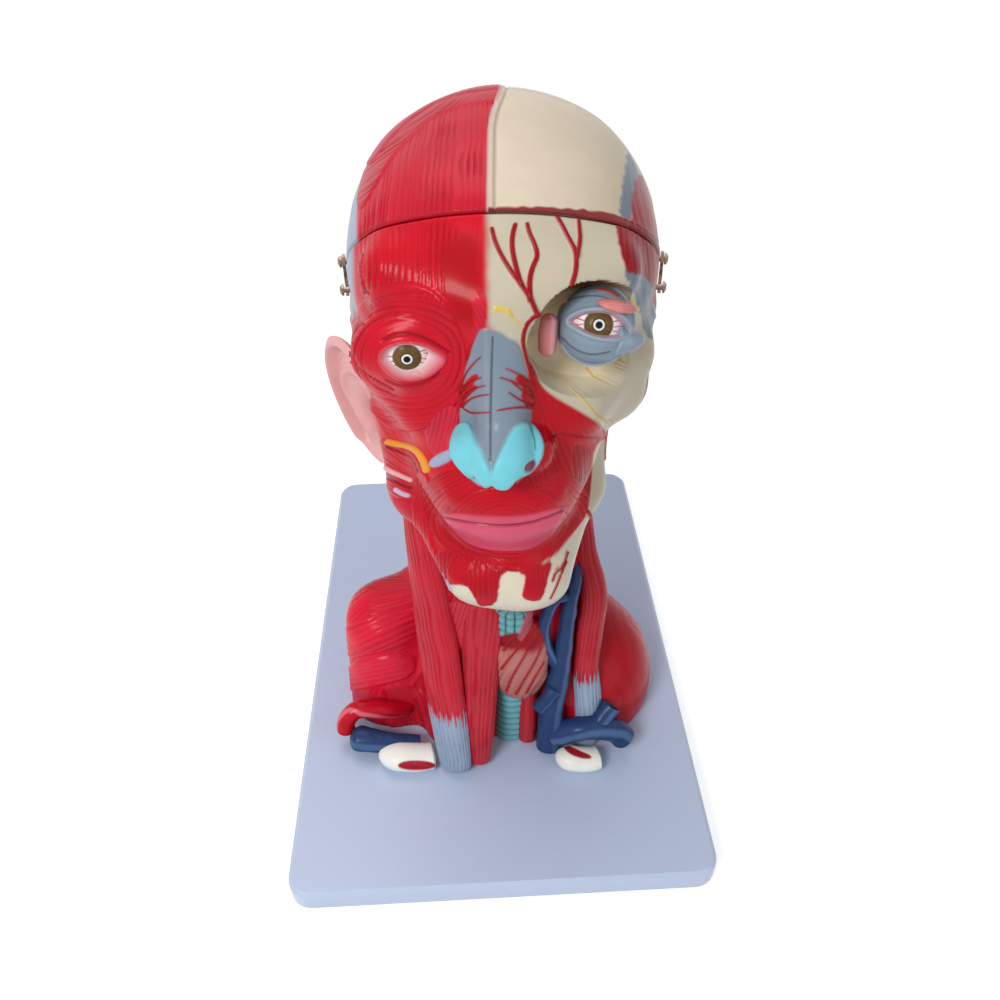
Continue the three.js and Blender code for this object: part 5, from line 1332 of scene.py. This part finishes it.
def make_ear():
    """A shell of an ear in its own plane: rows run out from the bowl to the rim, then round the back."""
    columns, rows, back = int(180 * DETAIL), int(110 * DETAIL), int(30 * DETAIL)
    turn = np.linspace(0, 2 * math.pi, columns, endpoint=False)[None, :]
    r = np.linspace(0.02, 1, rows)[:, None]
    wide = 17.5 * (1 + 0.14 * np.sin(turn))
    tall = np.where(np.sin(turn) > 0, 39.0, 35.0)
    y, z = r * wide * np.cos(turn), r * tall * np.sin(turn)
    lobe = smooth(-0.45, -0.8, np.sin(turn) * r)
    helix = np.exp(-((r - 0.9) / 0.075) ** 2) * (1 - lobe) * 3.6
    scapha = np.exp(-((r - 0.74) / 0.06) ** 2) * (1 - lobe) * -1.4
    back_half = smooth(-0.8, -0.2, 0.3 - np.cos(turn + 0.4))
    anti = 2.6 * back_half * np.exp(-((r - 0.56 - 0.06 * np.cos(turn * 2)) / 0.09) ** 2)
    bowl = -5.0 * np.exp(-(((y + 3.0) / 7.0) ** 2 + ((z + 6.0) / 10.0) ** 2))
    canal = -3.5 * np.exp(-(((y + 6.5) / 2.6) ** 2 + ((z + 7.0) / 3.2) ** 2))
    tragus = 3.2 * np.exp(-(((y + 12.5) / 2.8) ** 2 + ((z + 6.0) / 4.5) ** 2))
    curl = 2.8 * r * r + 0.05 * y
    out = 1.0 + helix + scapha + anti + bowl + canal + tragus + curl
    k = np.linspace(0, 1, back)[1:, None]
    shrink = 1 - 0.98 * k ** 1.6
    under = -4.2 * np.sin(np.clip(k * 2.2, 0, math.pi / 2)) * (0.6 + 0.4 * shrink)
    y = np.concatenate([y, y[-1:] * shrink])
    z = np.concatenate([z, z[-1:] * shrink])
    out = np.concatenate([out, out[-1:] * (1 - k) ** 2 + under])
    lean, flare = math.radians(-25), math.radians(46)
    y, z = turned(y, z, lean)
    place = np.stack([*turned(-out, y, flare), z], -1) + np.array([-0.37, -0.1, 1.05]) * SPAN
    depth = np.concatenate([bowl + canal + scapha * 0.8 + 0 * turn, np.zeros((back - 1, columns))]).ravel()

    def paint(coat, share, turn):
        coat.color[:] = linear((222, 170, 168))
        # Painted shade: darker in the bowl, the canal and the groove inside the rim, the deeper they lie
        coat.tint(np.clip(-depth / 6.5, 0, 1), (176, 92, 92))
    share = np.linspace(0, 1, place.shape[0])[:, None] + 0 * turn
    tube_piece("ear_root", loft([(-0.315, -0.13, 1.0, 0.034, 0.03), (-0.312, -0.085, 1.1, 0.052, 0.054),
        (-0.315, -0.04, 1.2, 0.034, 0.03)], None, 90, 60, (0.3, 0.3)), plain((208, 150, 148)), STATIC, "skin")
    tube_piece("painted_ear", (place, share, turn + 0 * share), paint, STATIC, "skin", "right_ear")


def brain_material():
    material = solid_material("painted_brain", (222, 178, 158), bump=0.1)
    tree = material.node_tree
    place = next(n for n in tree.nodes if n.type == "TEX_COORD").outputs["Object"]
    # Painted shade: darker red along the creases between the folds
    folds = add_node(tree, "TexVoronoi", {"Vector": place, "Scale": 75.0}, feature="DISTANCE_TO_EDGE")
    paint = color_ramp(tree, folds.outputs["Distance"], linear((150, 52, 56)), linear((226, 184, 164)), 0.22)
    feed(tree, tree.nodes["Principled BSDF"], {"Specular IOR Level": 0.2, "Base Color": paint})
    return material


def dress(node, material):
    node.data.materials.clear()
    node.data.materials.append(material)


def dress_brain():
    """The brain's solids get rounded folds that only sink in from their own faces."""
    material = brain_material()
    folds = bpy.data.textures.new("brain_folds", "VORONOI")
    folds.noise_scale = 0.014
    folds.distance_metric = "DISTANCE"
    for name, node in nodes.items():
        if not name.endswith(("_lobe", "_cerebellum", "_brain_stem")):
            continue
        dress(node, material)
        fine = node.modifiers.new("fine", "SUBSURF")
        fine.subdivision_type = "SIMPLE"
        fine.levels = fine.render_levels = 3 if DETAIL < 1 else 4
        sink = node.modifiers.new("sink", "DISPLACE")
        sink.texture = folds
        sink.texture_coords = "OBJECT"
        sink.strength = -0.0016
        sink.mid_level = 0.0


make_neck_pieces()
make_eyes()
make_ear()
dress_brain()


def soft_edges(node, width):
    bevel = node.modifiers.new("soft_edges", "BEVEL")
    bevel.width = width
    bevel.segments = 3
    bevel.limit_method = "ANGLE"
    bevel.angle_limit = math.radians(40)
    bevel.harden_normals = False


# Board, feet and fasteners keep their CAD shapes
for name, node in nodes.items():
    if name == "base_board":
        dress(node, BOARD)
        soft_edges(node, 0.0014)
    elif name.startswith("rubber_foot"):
        dress(node, RUBBER)
    elif name.startswith(("base_screw", "base_washer")) or "latch" in name:
        dress(node, STEEL)
        soft_edges(node, 0.0002)


# Camera, lights, floor and white surroundings
def make_camera():
    data = bpy.data.cameras.new("photo_camera")
    data.sensor_width = 36
    data.lens = LENS_PIXELS / IMAGE_SIZE * data.sensor_width
    data.clip_start = 0.01
    camera = scene_object("photo_camera", data)
    m = Matrix.Identity(4)
    for k in range(3):
        m[k][0], m[k][1], m[k][2], m[k][3] = RIGHT[k], -BELOW[k], -AHEAD[k], CAMERA_AT[k] * MM
    camera.matrix_world = m
    bpy.context.scene.camera = camera


def area_light(name, at, target, size, watts):
    data = bpy.data.lights.new(name, "AREA")
    data.shape = "DISK"
    data.size = size
    data.energy = watts
    light = scene_object(name, data)
    light.location = at
    light.rotation_euler = Vector(np.subtract(target, at)).to_track_quat("-Z", "Y").to_euler()


def plain_white(tree, lit, white, output):
    """The given shader, and plain white for the camera and in mirrors and glass."""
    path = tree.nodes.new("ShaderNodeLightPath")
    seen = path.outputs["Is Camera Ray"]
    for other in ("Is Glossy Ray", "Is Transmission Ray"):
        seen = add_node(tree, "Math", {0: seen, 1: path.outputs[other]}, operation="MAXIMUM").outputs[0]
    mix = add_node(tree, "MixShader", {"Fac": seen, 1: lit, 2: white})
    tree.links.new(mix.outputs[0], output)


def make_world():
    world = bpy.data.worlds.new("studio")
    bpy.context.scene.world = world
    world.use_nodes = True
    tree = world.node_tree
    soft = tree.nodes["Background"]
    feed(tree, soft, {"Color": (0.95, 0.97, 1.0, 1), "Strength": WORLD_LIGHT})
    white = add_node(tree, "Background", {"Color": (1, 1, 1, 1)})
    plain_white(tree, soft.outputs[0], white.outputs[0], tree.nodes["World Output"].inputs["Surface"])


def make_floor():
    mesh = bpy.data.meshes.new("floor")
    side = 3.0
    mesh.from_pydata([(-side, -side, 0), (side, -side, 0), (side, side, 0), (-side, side, 0)], [], [(0, 1, 2, 3)])
    floor = scene_object("floor", mesh)
    floor.location.z = -FLOOR_GAP * MM
    material, tree, shader = new_material("floor_white")
    feed(tree, shader, {"Base Color": (0.86, 0.86, 0.87, 1), "Roughness": 0.9})
    # Lifted to white where it is lit, and plain white all over away from the object
    glow = add_node(tree, "Emission", {"Strength": 0.5})
    both = add_node(tree, "AddShader", {0: shader.outputs[0], 1: glow.outputs[0]})
    place = add_node(tree, "TexCoord", {})
    length = add_node(tree, "VectorMath", {0: place.outputs["Object"]}, operation="LENGTH")
    away = add_node(tree, "MapRange", {"Value": length.outputs["Value"], "From Min": 0.3, "From Max": 0.6})
    full = add_node(tree, "Emission", {"Strength": 1.0})
    white = add_node(tree, "MixShader", {"Fac": away.outputs["Result"], 1: both.outputs[0], 2: full.outputs[0]})
    plain_white(tree, shader.outputs[0], white.outputs[0], tree.nodes["Material Output"].inputs["Surface"])
    mesh.materials.append(material)


make_camera()
make_world()
make_floor()
aim = (0.0, -0.03, 0.2)
area_light("key", (-0.62, -0.95, 1.05), aim, 0.55, 11.5)
area_light("fill", (0.9, -0.8, 0.7), aim, 1.0, 2.0)
area_light("top", (-0.2, 0.35, 1.4), aim, 0.9, 4.5)
bpy.context.scene.view_settings.view_transform = "Standard"
